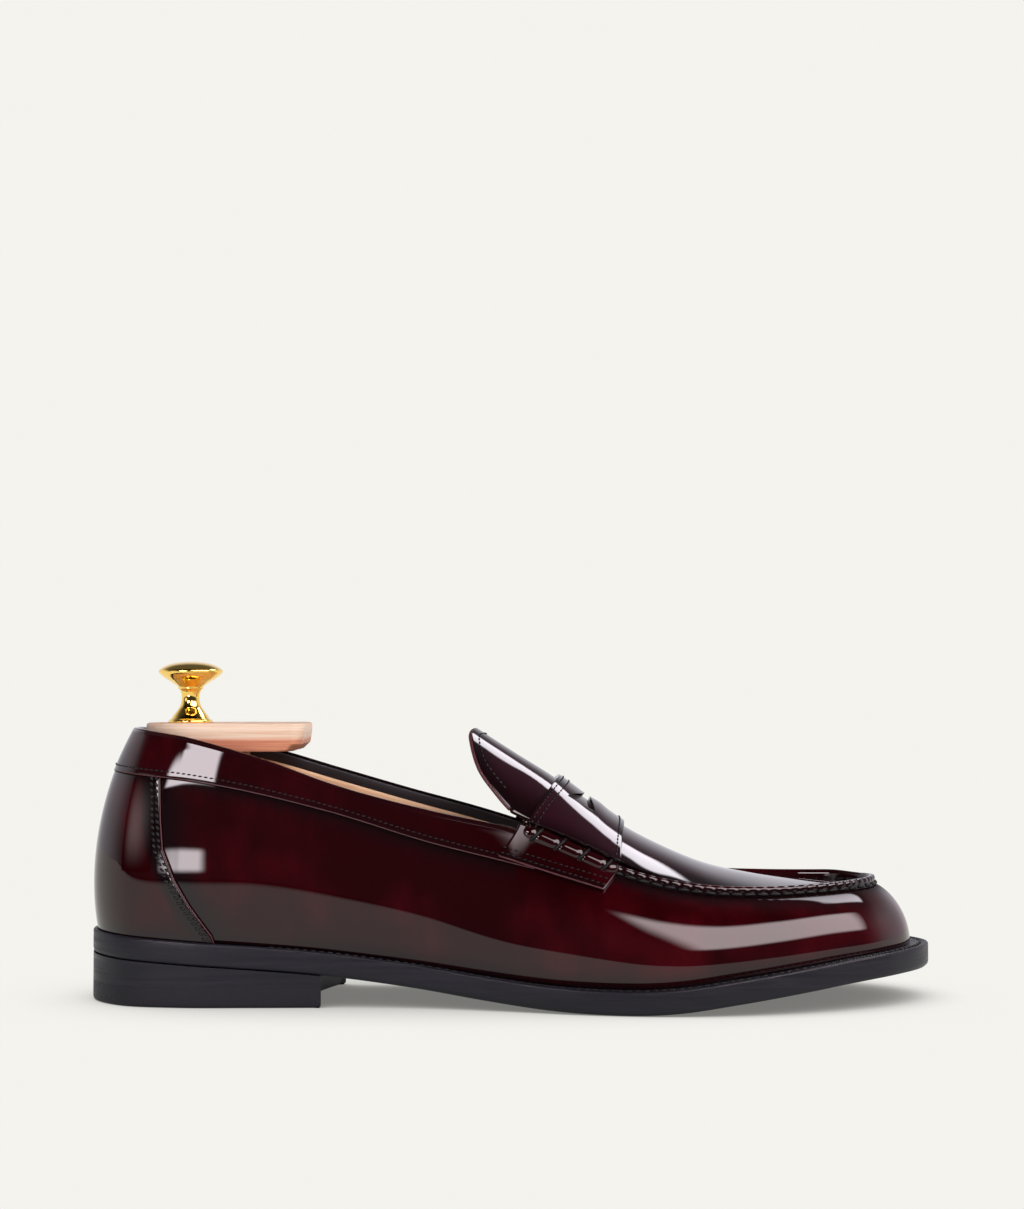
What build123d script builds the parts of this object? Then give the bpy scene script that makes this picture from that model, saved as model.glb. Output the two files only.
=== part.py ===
from build123d import *
import math
import os
import numpy as np

os.makedirs("parts", exist_ok=True)

# ---- driving dimensions, in mm. Tables give x from the back of the heel, y to the medial side ----
SOLE_LENGTH = 298
BACK = -SOLE_LENGTH / 2            # the heel's back; the origin is under the middle of the sole
REACH = 120                        # further than any piece goes, for cutting prisms

OUTSOLE = 5.0
WELT = 3.2
SOLE_STACK = OUTSOLE + WELT
FOOT_GAP = 0.1                     # between the welt and the foot of the upper
INSOLE = 2.8
SOCK = 0.9
LEATHER = 1.4                      # wall of the upper
OVERLAY = 1.2                      # collar band and heel cover, lapped over the wall
LINING = 1.0
TAB = 1.8
PLUG = 1.8
STRAP = 1.8
SKIN_GAP = 0.2                     # between layers that lie on each other
FACING_DEPTH = 4.5                 # height of the black strip inside the topline

HEEL_INSET = 0.3
TOP_LIFT = 7.0
LOWER_LIFT = 2.6
BREAST_LATERAL = 83.5
BREAST_DEEP = 79
BREAST_MEDIAL = 87.5

# height of the outsole's lower face above the ground: (x, z)
SOLE_BOTTOM = [
    (-8, 17.0), (0, 16.6), (41, 14.1), (84, 10.8), (116, 6.8), (139, 3.4), (160, 1.0), (178, 0.1),
    (186, 0), (194, 0.1), (205, 0.8), (224, 3.4), (249, 6.9), (266, 9.1), (284, 10.6), (298, 11.1),
    (306, 11.3),
]
# round the shoe, clockwise from above, toe tip first:
# sole edge x, y, welt margin, top edge z, its inset, low bulge and rise, high bulge and fall
WALL = [
    (298, 4, 6.5, 42.8, 12.5, 0.0, 0.48, 6.0, 0.10),
    (294, -11, 6.0, 42.6, 12.5, 0.5, 0.47, 6.0, 0.10),
    (282, -26, 5.5, 42.2, 12.5, 1.0, 0.45, 7.0, 0.10),
    (262, -38.5, 5.5, 41.5, 12.5, 1.5, 0.43, 8.0, 0.10),
    (240, -47, 5.5, 41.2, 13.0, 2.5, 0.40, 8.5, 0.11),
    (216, -51.2, 5.5, 42.2, 13.5, 3.2, 0.38, 9.0, 0.12),
    (195, -51.2, 5.5, 45.4, 13.0, 3.5, 0.38, 9.0, 0.13),
    (173, -47.6, 5.0, 51.6, 11.3, 4.0, 0.38, 8.0, 0.18),
    (148, -40.3, 4.0, 60.6, 9.0, 5.0, 0.36, 5.0, 0.28),
    (120, -33.7, 2.8, 67.3, 4.0, 6.0, 0.35, 3.5, 0.33),
    (90, -31.2, 2.2, 75.4, 2.2, 6.0, 0.35, 3.0, 0.35),
    (60, -31.6, 2.2, 86.0, 3.4, 5.0, 0.33, 5.0, 0.35),
    (34, -31.3, 2.5, 92.7, 6.2, 4.0, 0.30, 7.5, 0.35),
    (14, -26, 2.7, 95.0, 9.4, 3.8, 0.29, 10.5, 0.345),
    (3.3, -14, 2.7, 95.5, 11.6, 3.8, 0.287, 12.5, 0.343),
    (0, 0, 2.7, 95.6, 12.6, 3.8, 0.286, 13.0, 0.343),
    (3.3, 14, 2.7, 95.5, 11.6, 3.8, 0.287, 12.5, 0.343),
    (14, 26, 2.7, 95.0, 9.4, 3.8, 0.29, 10.5, 0.345),
    (34, 31.3, 2.5, 92.9, 6.0, 4.0, 0.30, 7.5, 0.35),
    (60, 31.4, 2.2, 87.6, 1.6, 6.0, 0.33, 3.8, 0.35),
    (85, 29.4, 2.2, 80.2, -1.6, 7.0, 0.35, 2.0, 0.35),
    (110, 28.3, 2.8, 73.0, -2.0, 7.0, 0.35, 2.0, 0.35),
    (135, 31.2, 3.5, 66.0, 1.8, 6.0, 0.35, 3.5, 0.33),
    (160, 39, 4.5, 57.0, 7.4, 5.0, 0.37, 5.5, 0.25),
    (184, 47.3, 5.0, 48.2, 10.6, 4.0, 0.38, 8.0, 0.16),
    (205, 51, 5.5, 43.4, 12.6, 3.5, 0.38, 9.0, 0.12),
    (225, 50.9, 5.5, 41.6, 13.0, 3.0, 0.39, 9.0, 0.12),
    (246, 47.3, 5.5, 41.2, 12.8, 2.5, 0.40, 8.5, 0.11),
    (266, 40.8, 5.5, 41.5, 12.5, 2.0, 0.43, 8.0, 0.10),
    (282, 31.6, 5.5, 42.2, 12.5, 1.0, 0.45, 7.0, 0.10),
    (293.7, 18.4, 6.0, 42.7, 12.5, 0.5, 0.47, 6.0, 0.10),
]
RIBS_PER_ROW = 1.6
RIB_REACH = 24                     # ribs to each side of the heel or the toe
RIB_CLEAR = 0.35                   # rows between the last shared rib and a layer's end
RIB_POINTS = 6
HEEL_ROW = 15
TOE_ROW = 0
STIFFENER_TOP = 0.9                # heights on the wall
PUFF_TOP = 0.8
PUFF = 0.8
RIM_THREAD = 1.3
RIM_DROP = 2.0
RIM_END_ROW = 5.8
# side view of the collar band's lower edge, and of the heel cover's front edge: (x, z)
BAND_FOOT = [(-5, 80.4), (7.2, 79.8), (41, 76.8), (86, 66.8), (120.7, 56.1), (150, 48.4)]
HEEL_SEAM = [(27.2, REACH), (27.2, 76.9), (27.9, 64.2), (28.9, 53.9), (33.1, 43.6), (38.2, 35), (45.8, 24.6),
             (56, 5)]
SEAM_LAP = 9                       # how far the wall runs on under the heel cover
# plug and tongue: x, height of the middle, of the edge, half width, y of the middle
PLUG_LINE = [
    (128, 101.0, 73.0, 28.0, 0.0), (140, 93.0, 67.5, 28.0, 0.0), (150, 86.6, 63.0, 28.0, 0.0),
    (165, 77.2, 57.0, 30.5, 0.0), (176, 69.2, 52.4, 32.3, 0.0), (190, 59.8, 46.8, 33.4, 0.0),
    (202, 53.6, 42.8, 33.2, 0.0), (218, 47.1, 40.6, 32.4, 0.0), (235, 43.2, 39.8, 30.5, 0.5),
    (250, 41.2, 39.5, 28.0, 1.0), (265, 40.1, 39.3, 24.5, 2.0), (277, 39.8, 39.2, 21.0, 3.5),
    (290, 39.7, 39.2, 18.0, 5.0),
]
CROWN_POWER = 2.2
TONGUE_EDGE = [(144.8, 24), (137.8, 20), (134.9, 12), (136.8, 0), (134.9, -12), (137.8, -20), (144.8, -24)]
STRAP_REAR = [(151, -32), (160, -20), (165, 0), (160, 20), (151, 32)]
STRAP_FRONT = [(185.5, 36), (188, 0), (185.5, -36)]
SLOT_REAR = [(168, -16), (172.6, -8), (174, 0), (172.6, 8), (168, 16)]
SLOT_FRONT = [(177, 16), (176.8, 0), (177, -16)]
TAB_CORNERS = [(151.8, 66), (186, 51.4), (180.6, 40.4), (144.9, 51.5)]
ROLL_ENDS = ((152.5, 60.6), (185.5, 46.2))      # side view of the roll's axis: (x, z)
ROLL_TALL = 3.6
ROLL_THICK = 3.4
ROLL_LOOPS = 4
ROLL_SIDE = [(140, 26.5), (152, 29.0), (186, 35.0), (196, 36)]       # x, distance from the middle
THREAD = 0.9

RAND_END = 62
WELT_WIDTH = 13
WELT_THREAD = 0.4
THREAD_INSET = 0.2
THREAD_MARGIN = 0.36               # and this share of the welt margin
SHANK = (58, 158)
SHANK_WIDTH = 14
SHANK_THICK = 1.2
NAIL_RING = (32, 19)               # x of its middle, radius
NAIL_LEVELS = (8, 18.8)
NAIL_RADIUS = 1.2

# the shoe tree: its axis runs from the heel block down to the forepart
TREE_START = (52, 48)
TREE_FALL = 7.4
ROD_RADIUS = 5.0
TUBE_RADIUS = 6.5
RUNNING_FIT = 0.05
ROD_REACH = (-18, 75)              # along the tree's axis
TUBE_REACH = (40, 118)
TUBE_END = 2.0
SPRING_WIRE = 1.2
SPRING_RADIUS = 3.9
SPRING_TURNS = 10
BLOCK_LEVELS = [(31.5, 6.0, 25.4), (46, 5.8, 26.0), (60, 7.4, 24.8), (75, 11.0, 22.6), (87.6, 16.2, 19.4)]
BLOCK_FRONT = 53
PLANK = (18.2, 76, 19.4)           # back, front, half width
PLANK_LEVELS = (87.3, 97.2)
PLANK_LIP = 5.4
PIN_AT = -8                        # along the tree's axis
PIN_RADIUS = 1.5
PIN_HALF = 20
KNOB_X = 33.7
KNOB_PROFILE = [(6.4, 2.2), (4.9, 3.8), (3.6, 6.0), (3.25, 8.4), (4.0, 10.6), (5.75, 12.0)]
KNOB_FOOT = 7.8
KNOB_RADIUS = 11.5
KNOB_RIM = 18.2
KNOB_TALL = 21.9
SCREW_RADIUS = 1.9
SCREW_DEPTH = 16
SCREW_UP = 7
# forepart sections: x, top, half width, y of the middle
FOREPART = [(158, 52, 20, 0), (172, 55.5, 27, 0), (188, 52.5, 31.5, 0), (205, 46.5, 33.5, 0.3),
            (225, 39.5, 32, 0.8), (245, 36, 26, 1.5), (258, 34.8, 19, 2.5), (265, 33, 11, 3.2)]
KERF = 3.4
DOWELS = [(196, 29), (232, 27)]
DOWEL_RADIUS = 2.5
DOWEL_REACH = 14
SIDE_TRAVEL = 3.0
TREE_CLEAR = 0.8
COIL_RADIUS = 3.6
COIL_HALF = 6

PLAN = Plane(origin=(BACK, 0, 0))
SIDE = Plane(origin=(BACK, 0, 0), x_dir=(1, 0, 0), z_dir=(0, -1, 0))


# ---- curves through the tables ----
def smooth_at(places, rows, place):
    """Row of values at a place, on the smooth curve through a table's rows."""
    slopes = np.gradient(rows, places, axis=0)
    i = int(np.clip(np.searchsorted(places, place, side="right") - 1, 0, len(places) - 2))
    step = places[i + 1] - places[i]
    t = (place - places[i]) / step
    return ((2 * t**3 - 3 * t**2 + 1) * rows[i] + (3 * t**2 - 2 * t**3) * rows[i + 1]
            + step * ((t**3 - 2 * t**2 + t) * slopes[i] + (t**3 - t**2) * slopes[i + 1]))


def table_at(table, x):
    """Values of a table whose first column is x."""
    columns = np.array(table, float)
    return smooth_at(columns[:, 0], columns[:, 1:], x)


def sole_z(x, lift=0.0):
    return float(table_at(SOLE_BOTTOM, x)[0]) + lift


WRAP = 3
LOOP = np.array(WALL[-WRAP:] + WALL + WALL[:WRAP], float)
PLACES = np.concatenate([[0], np.cumsum(np.hypot(*np.diff(LOOP[:, :2], axis=0).T))])


def wall_row(row):
    """Foot of the wall, direction out and along, and the other columns, at a row (it may be between two)."""
    place = np.interp(row % len(WALL) + WRAP, np.arange(len(LOOP)), PLACES)
    here = smooth_at(PLACES, LOOP, place)
    along = smooth_at(PLACES, LOOP, place + 0.5)[:2] - smooth_at(PLACES, LOOP, place - 0.5)[:2]
    along = along / np.hypot(*along)
    out = np.array([-along[1], along[0]])
    return here[:2], out, along, here[2:]


def rib_plane(row):
    """Upright plane across the wall: its x points out of the shoe, its origin is at the wall's foot."""
    edge, out, along, values = wall_row(row)
    foot = edge - out * values[0]
    return Plane(origin=(BACK + foot[0], foot[1], 0), x_dir=(*out, 0), z_dir=(*along, 0))


def wall_point(row, height, depth=0.0):
    """(out, up) in the rib plane, from height 0 at the sole to 1 at the top edge, so deep in the wall."""
    edge, out, along, (margin, top, inset, low_bulge, low_rise, high_bulge, high_fall) = wall_row(row)
    low = sole_z(edge[0] - out[0] * margin, SOLE_STACK + FOOT_GAP)
    tall = top - low
    ends = np.array([(0, low), (low_bulge, low + low_rise * tall),
                     (high_bulge - inset, top - high_fall * tall), (-inset, top)])
    v = height
    weights = np.array([(1 - v)**3, 3 * v * (1 - v)**2, 3 * v**2 * (1 - v), v**3])
    speed = 3 * np.array([(1 - v)**2, 2 * v * (1 - v), v**2]) @ np.diff(ends, axis=0)
    normal = np.array([speed[1], -speed[0]]) / np.hypot(*speed)
    return tuple(weights @ ends - depth * normal)


def height_for(row, z):
    """The wall height whose outer face is at z."""
    low, high = 0.0, 1.0
    for _ in range(20):
        middle = (low + high) / 2
        low, high = (middle, high) if wall_point(row, middle)[1] < z else (low, middle)
    return low


def seam_xy(row, inside):
    """Plan point on the wall's top edge, moved so far inside it."""
    edge, out, along, values = wall_row(row)
    return tuple(edge - out * (values[0] + values[2] + inside))


def sole_points(inset, margins=0.0):
    """Plan points of the sole's edge, moved in by an inset and a share of the welt margin."""
    points = []
    for row in range(len(WALL)):
        edge, out, along, values = wall_row(row)
        points.append(tuple(edge - out * (inset + margins * values[0])))
    return points


def apron_point(x, y, rise):
    """(y, z) of the plug's upper face at x, raised square to its section."""
    middle, edge, half, centre = table_at(PLUG_LINE, x)
    share = abs(y - centre) / half
    slope = -math.copysign(CROWN_POWER * (middle - edge) / half * share**(CROWN_POWER - 1), y - centre)
    length = math.hypot(1, slope)
    return (y - rise * slope / length, edge + (middle - edge) * (1 - share**CROWN_POWER) + rise / length)


# ---- solids that several sub-parts are cut from ----
def wall_span(rows, low, high, outside, inside):
    """A strip of the upper through ribs at some rows; low and high give its heights at a row."""
    with BuildPart() as span:
        for row in rows:
            heights = np.linspace(low(row), high(row), RIB_POINTS)
            with BuildSketch(rib_plane(row)):
                with BuildLine():
                    outer = Spline(*[wall_point(row, v, outside) for v in heights])
                    inner = Spline(*[wall_point(row, v, inside) for v in heights])
                    Line(outer @ 0, inner @ 0)
                    Line(outer @ 1, inner @ 1)
                make_face()
        loft()
    return span.part


def wall_layer(start, middle, end, low, high, outside, inside):
    """A strip of the upper round the heel or the toe, in two lofts that meet at the middle row."""
    halves = []
    for first, last in ((start, middle), (middle, end)):
        shared = np.arange(-RIB_REACH, RIB_REACH + 1) / RIBS_PER_ROW + HEEL_ROW * (middle == HEEL_ROW)
        inner = [row for row in shared if first + RIB_CLEAR < row < last - RIB_CLEAR]
        halves.append(wall_span([first, *inner, last], low, high, outside, inside))
    with BuildPart() as layer:
        for half in halves:
            add(half)
    return layer.part


def apron_layer(low, high, spread=1.16):
    """A sheet over the instep and toe between two distances from the plug's upper face."""
    shares = np.linspace(-spread, spread, 13)
    with BuildPart() as layer:
        for x, middle, edge, half, centre in PLUG_LINE:
            with BuildSketch(Plane(origin=(BACK + x, 0, 0), x_dir=(0, 1, 0), z_dir=(1, 0, 0))):
                with BuildLine():
                    upper = Spline(*[apron_point(x, centre + share * half, high) for share in shares])
                    lower = Spline(*[apron_point(x, centre + share * half, low) for share in shares])
                    Line(upper @ 0, lower @ 0)
                    Line(upper @ 1, lower @ 1)
                make_face()
        loft()
    return layer.part


def bottom_layer(low, high, inset, margins=0.0, start=-9, end=307, hollow=None):
    """A layer of the bottom between two heights over the outsole's lower face, ring-shaped if hollow."""
    places = [x for x, z in SOLE_BOTTOM]
    with BuildPart() as layer:
        with BuildSketch(SIDE):
            with BuildLine():
                lower = Spline(*[(x, sole_z(x, low)) for x in places])
                upper = Spline(*[(x, sole_z(x, high)) for x in places])
                Line(lower @ 0, upper @ 0)
                Line(lower @ 1, upper @ 1)
            make_face()
        extrude(amount=REACH, both=True)
        with BuildSketch(PLAN):
            with BuildLine():
                Spline(*sole_points(inset, margins), periodic=True)
            make_face()
            if hollow is not None:
                with BuildLine():
                    Spline(*sole_points(hollow, margins), periodic=True)
                make_face(mode=Mode.SUBTRACT)
            with Locations(((start + end) / 2, 0)):
                Rectangle(end - start, 2 * REACH, mode=Mode.INTERSECT)
        extrude(amount=REACH, mode=Mode.INTERSECT)
    return layer.part


def heel_layer(low, high):
    """A layer of the heel, with its hollow front."""
    with BuildPart() as layer:
        with BuildSketch(PLAN.offset(low)):
            with BuildLine():
                Spline(*sole_points(HEEL_INSET), periodic=True)
            make_face()
            with BuildLine():
                breast = ThreePointArc((BREAST_LATERAL, -32), (BREAST_DEEP, 0), (BREAST_MEDIAL, 32))
                Polyline(breast @ 1, (BREAST_MEDIAL, REACH), (SOLE_LENGTH + 9, REACH),
                         (SOLE_LENGTH + 9, -REACH),
                         (BREAST_LATERAL, -REACH), breast @ 0)
            make_face(mode=Mode.SUBTRACT)
        extrude(amount=high - low)
    return layer.part


def behind_seam(shift):
    """Everything behind the heel cover's front edge, moved back by a shift."""
    with BuildPart() as region:
        with BuildSketch(SIDE):
            with BuildLine():
                edge = Spline(*[(x - shift, z) for x, z in HEEL_SEAM])
                Polyline(edge @ 1, (-REACH, HEEL_SEAM[-1][1]), (-REACH, REACH), edge @ 0)
            make_face()
        extrude(amount=REACH, both=True)
    return region.part


def tree_plane(distance):
    """Plane across the shoe tree's axis."""
    fall = math.radians(TREE_FALL)
    along = Vector(math.cos(fall), 0, -math.sin(fall))
    return Plane(origin=Vector(BACK + TREE_START[0], 0, TREE_START[1]) + along * distance,
                 x_dir=(0, 1, 0), z_dir=along)


def tree_bar(radius, start, end):
    """A round bar on the shoe tree's axis."""
    with BuildPart() as bar:
        with BuildSketch(tree_plane(start)):
            Circle(radius)
        extrude(amount=end - start)
    return bar.part


def finish_piece(name, part):
    part.label = name
    export_step(part, f"parts/{name}.step")


# ---- upper ----
def foot(row):
    return 0.0


def above_foot(row):
    return 0.015


def top_edge(row):
    return 1.0


def band_foot(row):
    """Height of the collar band's lower edge on the wall."""
    edge = wall_row(row)[0]
    return height_for(row, float(table_at(BAND_FOOT, edge[0])[0]))


def under_band(row):
    return band_foot(row) - 0.004


def facing_foot(row):
    """Height of the black facing's lower edge."""
    edge, out, along, values = wall_row(row)
    return 1 - FACING_DEPTH / (values[1] - sole_z(edge[0], SOLE_STACK))


def under_facing(row):
    return facing_foot(row) - 0.003


# rows where the pieces start and end: the collar at the strap's tabs, the heel cover past its seam
COLLAR_ENDS = (8.125, 22.5)
COVER_ENDS = (10.625, 19.375)
VAMP_ENDS = (-14.375, 13.125)

wall_shell = wall_layer(VAMP_ENDS[0], TOE_ROW, VAMP_ENDS[1], foot, top_edge, 0, LEATHER)
lap_region = behind_seam(SEAM_LAP)
with BuildPart() as vamp_wall:
    add(wall_shell)
    add(lap_region, mode=Mode.SUBTRACT)
finish_piece("vamp_wall", vamp_wall.part)

cover_shell = wall_layer(COVER_ENDS[0], HEEL_ROW, COVER_ENDS[1], above_foot, under_band, -OVERLAY, -SKIN_GAP)
cover_region = behind_seam(0)
with BuildPart() as heel_counter_cover:
    add(cover_shell)
    add(cover_region, mode=Mode.INTERSECT)
finish_piece("heel_counter_cover", heel_counter_cover.part)

stiffener_shell = wall_layer(COVER_ENDS[0], HEEL_ROW, COVER_ENDS[1], foot, lambda row: STIFFENER_TOP,
                             0, LEATHER)
stiffener_region = behind_seam(SEAM_LAP + 0.4)
with BuildPart() as heel_stiffener:
    add(stiffener_shell)
    add(stiffener_region, mode=Mode.INTERSECT)
finish_piece("heel_stiffener", heel_stiffener.part)


def beside_wall(low, high, outside, inside):
    """A collar layer, cut back where it would dip into the wall's leather between two ribs."""
    with BuildPart() as layer:
        add(wall_layer(COLLAR_ENDS[0], HEEL_ROW, COLLAR_ENDS[1], low, high, outside, inside))
        add(vamp_wall.part, mode=Mode.SUBTRACT)
    return layer.part.solids().sort_by(SortBy.VOLUME)[-1]


collar_band = beside_wall(band_foot, top_edge, -OVERLAY, -SKIN_GAP)
finish_piece("collar_band", collar_band)
quarter_lining = beside_wall(foot, under_facing, LEATHER + SKIN_GAP, LEATHER + LINING)
finish_piece("quarter_lining", quarter_lining)
collar_facing = beside_wall(facing_foot, top_edge, LEATHER + SKIN_GAP, LEATHER + LINING)
finish_piece("collar_facing", collar_facing)
toe_puff = wall_layer(-4.2, TOE_ROW, 4.2, foot, lambda row: PUFF_TOP, LEATHER + SKIN_GAP, LEATHER + PUFF)
finish_piece("toe_puff", toe_puff)
vamp_lining = wall_layer(-7.8, TOE_ROW, 7.8, foot, lambda row: PUFF_TOP,
                         LEATHER + PUFF + SKIN_GAP, LEATHER + PUFF + LINING)
finish_piece("vamp_lining", vamp_lining)

# ---- apron ----
SEAM_END_ROW = 8.1
seam_rows = np.linspace(-SEAM_END_ROW, SEAM_END_ROW, 17)
apron_sheet = apron_layer(-PLUG, 0)
lining_sheet = apron_layer(-PLUG - LINING, -PLUG - SKIN_GAP)
strap_sheet = apron_layer(SKIN_GAP, STRAP)


def apron_outline(inside):
    """Prism inside the apron seam and the tongue's free edge."""
    with BuildPart() as prism:
        with BuildSketch(PLAN):
            with BuildLine():
                seam = Spline(*[seam_xy(row, inside) for row in seam_rows])
                Spline(seam @ 1, *reversed(TONGUE_EDGE), seam @ 0)
            make_face()
        extrude(amount=REACH)
    return prism.part


plug_outline = apron_outline(LEATHER + 0.6)
with BuildPart() as plug_and_tongue:
    add(apron_sheet)
    add(plug_outline, mode=Mode.INTERSECT)
finish_piece("plug_and_tongue", plug_and_tongue.part)

lining_outline = apron_outline(LEATHER + 3.5)
with BuildPart() as plug_lining:
    add(lining_sheet)
    add(lining_outline, mode=Mode.INTERSECT)
finish_piece("plug_lining", plug_lining.part)

strap_outline = apron_outline(LEATHER - 0.6)
with BuildPart() as saddle_strap:
    add(strap_sheet)
    add(strap_outline, mode=Mode.INTERSECT)
    with BuildSketch(PLAN):
        with BuildLine():
            rear = Spline(*STRAP_REAR)
            front = Spline(*STRAP_FRONT)
            Line(rear @ 1, front @ 0)
            Line(front @ 1, rear @ 0)
        make_face()
        with BuildLine():
            rear = Spline(*SLOT_REAR)
            front = Spline(*SLOT_FRONT)
            Line(rear @ 1, front @ 0)
            Line(front @ 1, rear @ 0)
        make_face(mode=Mode.SUBTRACT)
    extrude(amount=REACH, mode=Mode.INTERSECT)
finish_piece("saddle_strap", saddle_strap.part)

with BuildPart() as tab_region:
    with BuildSketch(SIDE):
        Polygon(*TAB_CORNERS, align=None)
    extrude(amount=REACH, both=True)

sides = {"lateral": (6.2, 8.9, -1), "medial": (22.0, 24.9, 1)}
rolls = {}
for side, (first, last, sign) in sides.items():
    tab_shell = wall_span(np.linspace(first, last, 6), lambda row: 0.4, top_edge, -TAB, -SKIN_GAP)
    with BuildPart() as side_tab:
        add(tab_shell)
        add(tab_region.part, mode=Mode.INTERSECT)
        add(collar_band, mode=Mode.SUBTRACT)
    finish_piece(f"side_tab_{side}", side_tab.part)

    rear, front = [Vector(BACK + x, sign * table_at(ROLL_SIDE, x)[0], z) for x, z in ROLL_ENDS]
    roll_plane = Plane(origin=rear, x_dir=(0, 1, 0), z_dir=front - rear)
    under_roll = [vamp_wall.part, plug_and_tongue.part, saddle_strap.part, side_tab.part, collar_band]
    with BuildPart() as beef_roll:
        with BuildSketch(roll_plane):
            Ellipse(ROLL_THICK, ROLL_TALL)
        extrude(amount=(front - rear).length)
        for piece in under_roll:
            add(piece, mode=Mode.SUBTRACT)
    finish_piece(f"beef_roll_{side}", beef_roll.part.solids().sort_by(SortBy.VOLUME)[-1])

    with BuildPart() as loops:
        for i in range(ROLL_LOOPS):
            with BuildSketch(roll_plane.offset((front - rear).length * (0.14 + 0.24 * i))):
                Ellipse(ROLL_THICK + THREAD, ROLL_TALL + THREAD)
                Ellipse(ROLL_THICK, ROLL_TALL, mode=Mode.SUBTRACT)
            extrude(amount=1.4 * THREAD)
        for piece in under_roll:
            add(piece, mode=Mode.SUBTRACT)
    rolls[side] = [ring for ring in loops.part.solids() if ring.volume > 2]
finish_piece("roll_stitches", Compound(children=rolls["lateral"] + rolls["medial"]))


def seam_thread_span(rows):
    """The thread that fills the step between the plug and the wall's rim."""
    with BuildPart() as span:
        for row in rows:
            top, inset = wall_row(row)[3][1:3]
            with BuildSketch(rib_plane(row)):
                with Locations((-inset - RIM_THREAD / 2 - 0.3, top - RIM_DROP / 2 - 0.4)):
                    Rectangle(RIM_THREAD, RIM_DROP)
        loft()
    return span.part


thread_halves = [seam_thread_span(np.linspace(-RIM_END_ROW, TOE_ROW, 9)),
                 seam_thread_span(np.linspace(TOE_ROW, RIM_END_ROW, 9))]
with BuildPart() as apron_thread:
    for half in thread_halves:
        add(half)
    for piece in (plug_and_tongue.part, vamp_wall.part, toe_puff, vamp_lining):
        add(piece, mode=Mode.SUBTRACT)
finish_piece("apron_thread", apron_thread.part.solids().sort_by(SortBy.VOLUME)[-1])

# ---- bottom ----
finish_piece("outsole", bottom_layer(0, OUTSOLE, 0))
finish_piece("welt", bottom_layer(OUTSOLE, SOLE_STACK, 0, start=RAND_END, hollow=WELT_WIDTH))
finish_piece("heel_rand", bottom_layer(OUTSOLE, SOLE_STACK, 0, end=RAND_END, hollow=WELT_WIDTH))
finish_piece("welt_thread", bottom_layer(SOLE_STACK, SOLE_STACK + WELT_THREAD, THREAD_INSET, THREAD_MARGIN,
                                         start=RAND_END + 8, hollow=THREAD_INSET + THREAD))

cork_sheet = bottom_layer(OUTSOLE, SOLE_STACK - SKIN_GAP, WELT_WIDTH + 0.3)
with BuildPart() as shank_space:
    with BuildSketch(PLAN):
        with Locations(((SHANK[0] + SHANK[1]) / 2, 0)):
            SlotOverall(SHANK[1] - SHANK[0], SHANK_WIDTH)
    extrude(amount=REACH)
shank_sheet = bottom_layer(OUTSOLE + 0.6, OUTSOLE + 0.6 + SHANK_THICK, WELT_WIDTH + 0.3)
with BuildPart() as shank:
    add(shank_sheet)
    add(shank_space.part, mode=Mode.INTERSECT)
finish_piece("shank", shank.part)
with BuildPart() as cork_filler:
    add(cork_sheet)
    add(shank.part, mode=Mode.SUBTRACT)
finish_piece("cork_filler", cork_filler.part)

INSOLE_EDGE = LEATHER + PUFF + LINING + 0.6
finish_piece("insole", bottom_layer(SOLE_STACK, SOLE_STACK + INSOLE, INSOLE_EDGE, margins=1))
finish_piece("sock_liner", bottom_layer(SOLE_STACK + INSOLE, SOLE_STACK + INSOLE + SOCK, INSOLE_EDGE + 0.4,
                                        margins=1))

# ---- heel: two leather lifts, the rubber top lift and the nails that hold them ----
nail_places = [(BACK + NAIL_RING[0] + NAIL_RING[1] * math.cos(math.radians(a)),
                NAIL_RING[1] * math.sin(math.radians(a))) for a in (70, 125, 180, 235, 290)]
with BuildPart() as heel_nails:
    for x, y in nail_places:
        with BuildSketch(Plane(origin=(x, y, NAIL_LEVELS[0]))):
            Circle(NAIL_RADIUS)
        extrude(amount=NAIL_LEVELS[1] - NAIL_LEVELS[0])
finish_piece("heel_nails", heel_nails.part)

finish_piece("top_lift", heel_layer(0, TOP_LIFT))
lower_blank = heel_layer(TOP_LIFT, TOP_LIFT + LOWER_LIFT)
with BuildPart() as heel_lift_lower:
    add(lower_blank)
    add(heel_nails.part, mode=Mode.SUBTRACT)
finish_piece("heel_lift_lower", heel_lift_lower.part)

upper_blank = heel_layer(TOP_LIFT + LOWER_LIFT, REACH)
under_sole = bottom_layer(-30, 0, -5, end=REACH)
with BuildPart() as heel_lift_upper:
    add(upper_blank)
    add(under_sole, mode=Mode.INTERSECT)
    add(heel_nails.part, mode=Mode.SUBTRACT)
finish_piece("heel_lift_upper", heel_lift_upper.part)

# ---- shoe tree: heel block and what slides with it ----
rod = tree_bar(ROD_RADIUS, *ROD_REACH)
with BuildPart() as tree_rod:
    add(rod)
    with BuildSketch(Plane(origin=tree_plane(PIN_AT).origin, x_dir=(1, 0, 0), z_dir=(0, 1, 0))):
        Circle(PIN_RADIUS)
    extrude(amount=REACH, both=True, mode=Mode.SUBTRACT)
finish_piece("tree_rod", tree_rod.part)

with BuildPart() as rod_pin:
    with BuildSketch(Plane(origin=tree_plane(PIN_AT).origin, x_dir=(1, 0, 0), z_dir=(0, 1, 0))):
        Circle(PIN_RADIUS)
    extrude(amount=PIN_HALF, both=True)
finish_piece("rod_pin", rod_pin.part)

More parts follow.
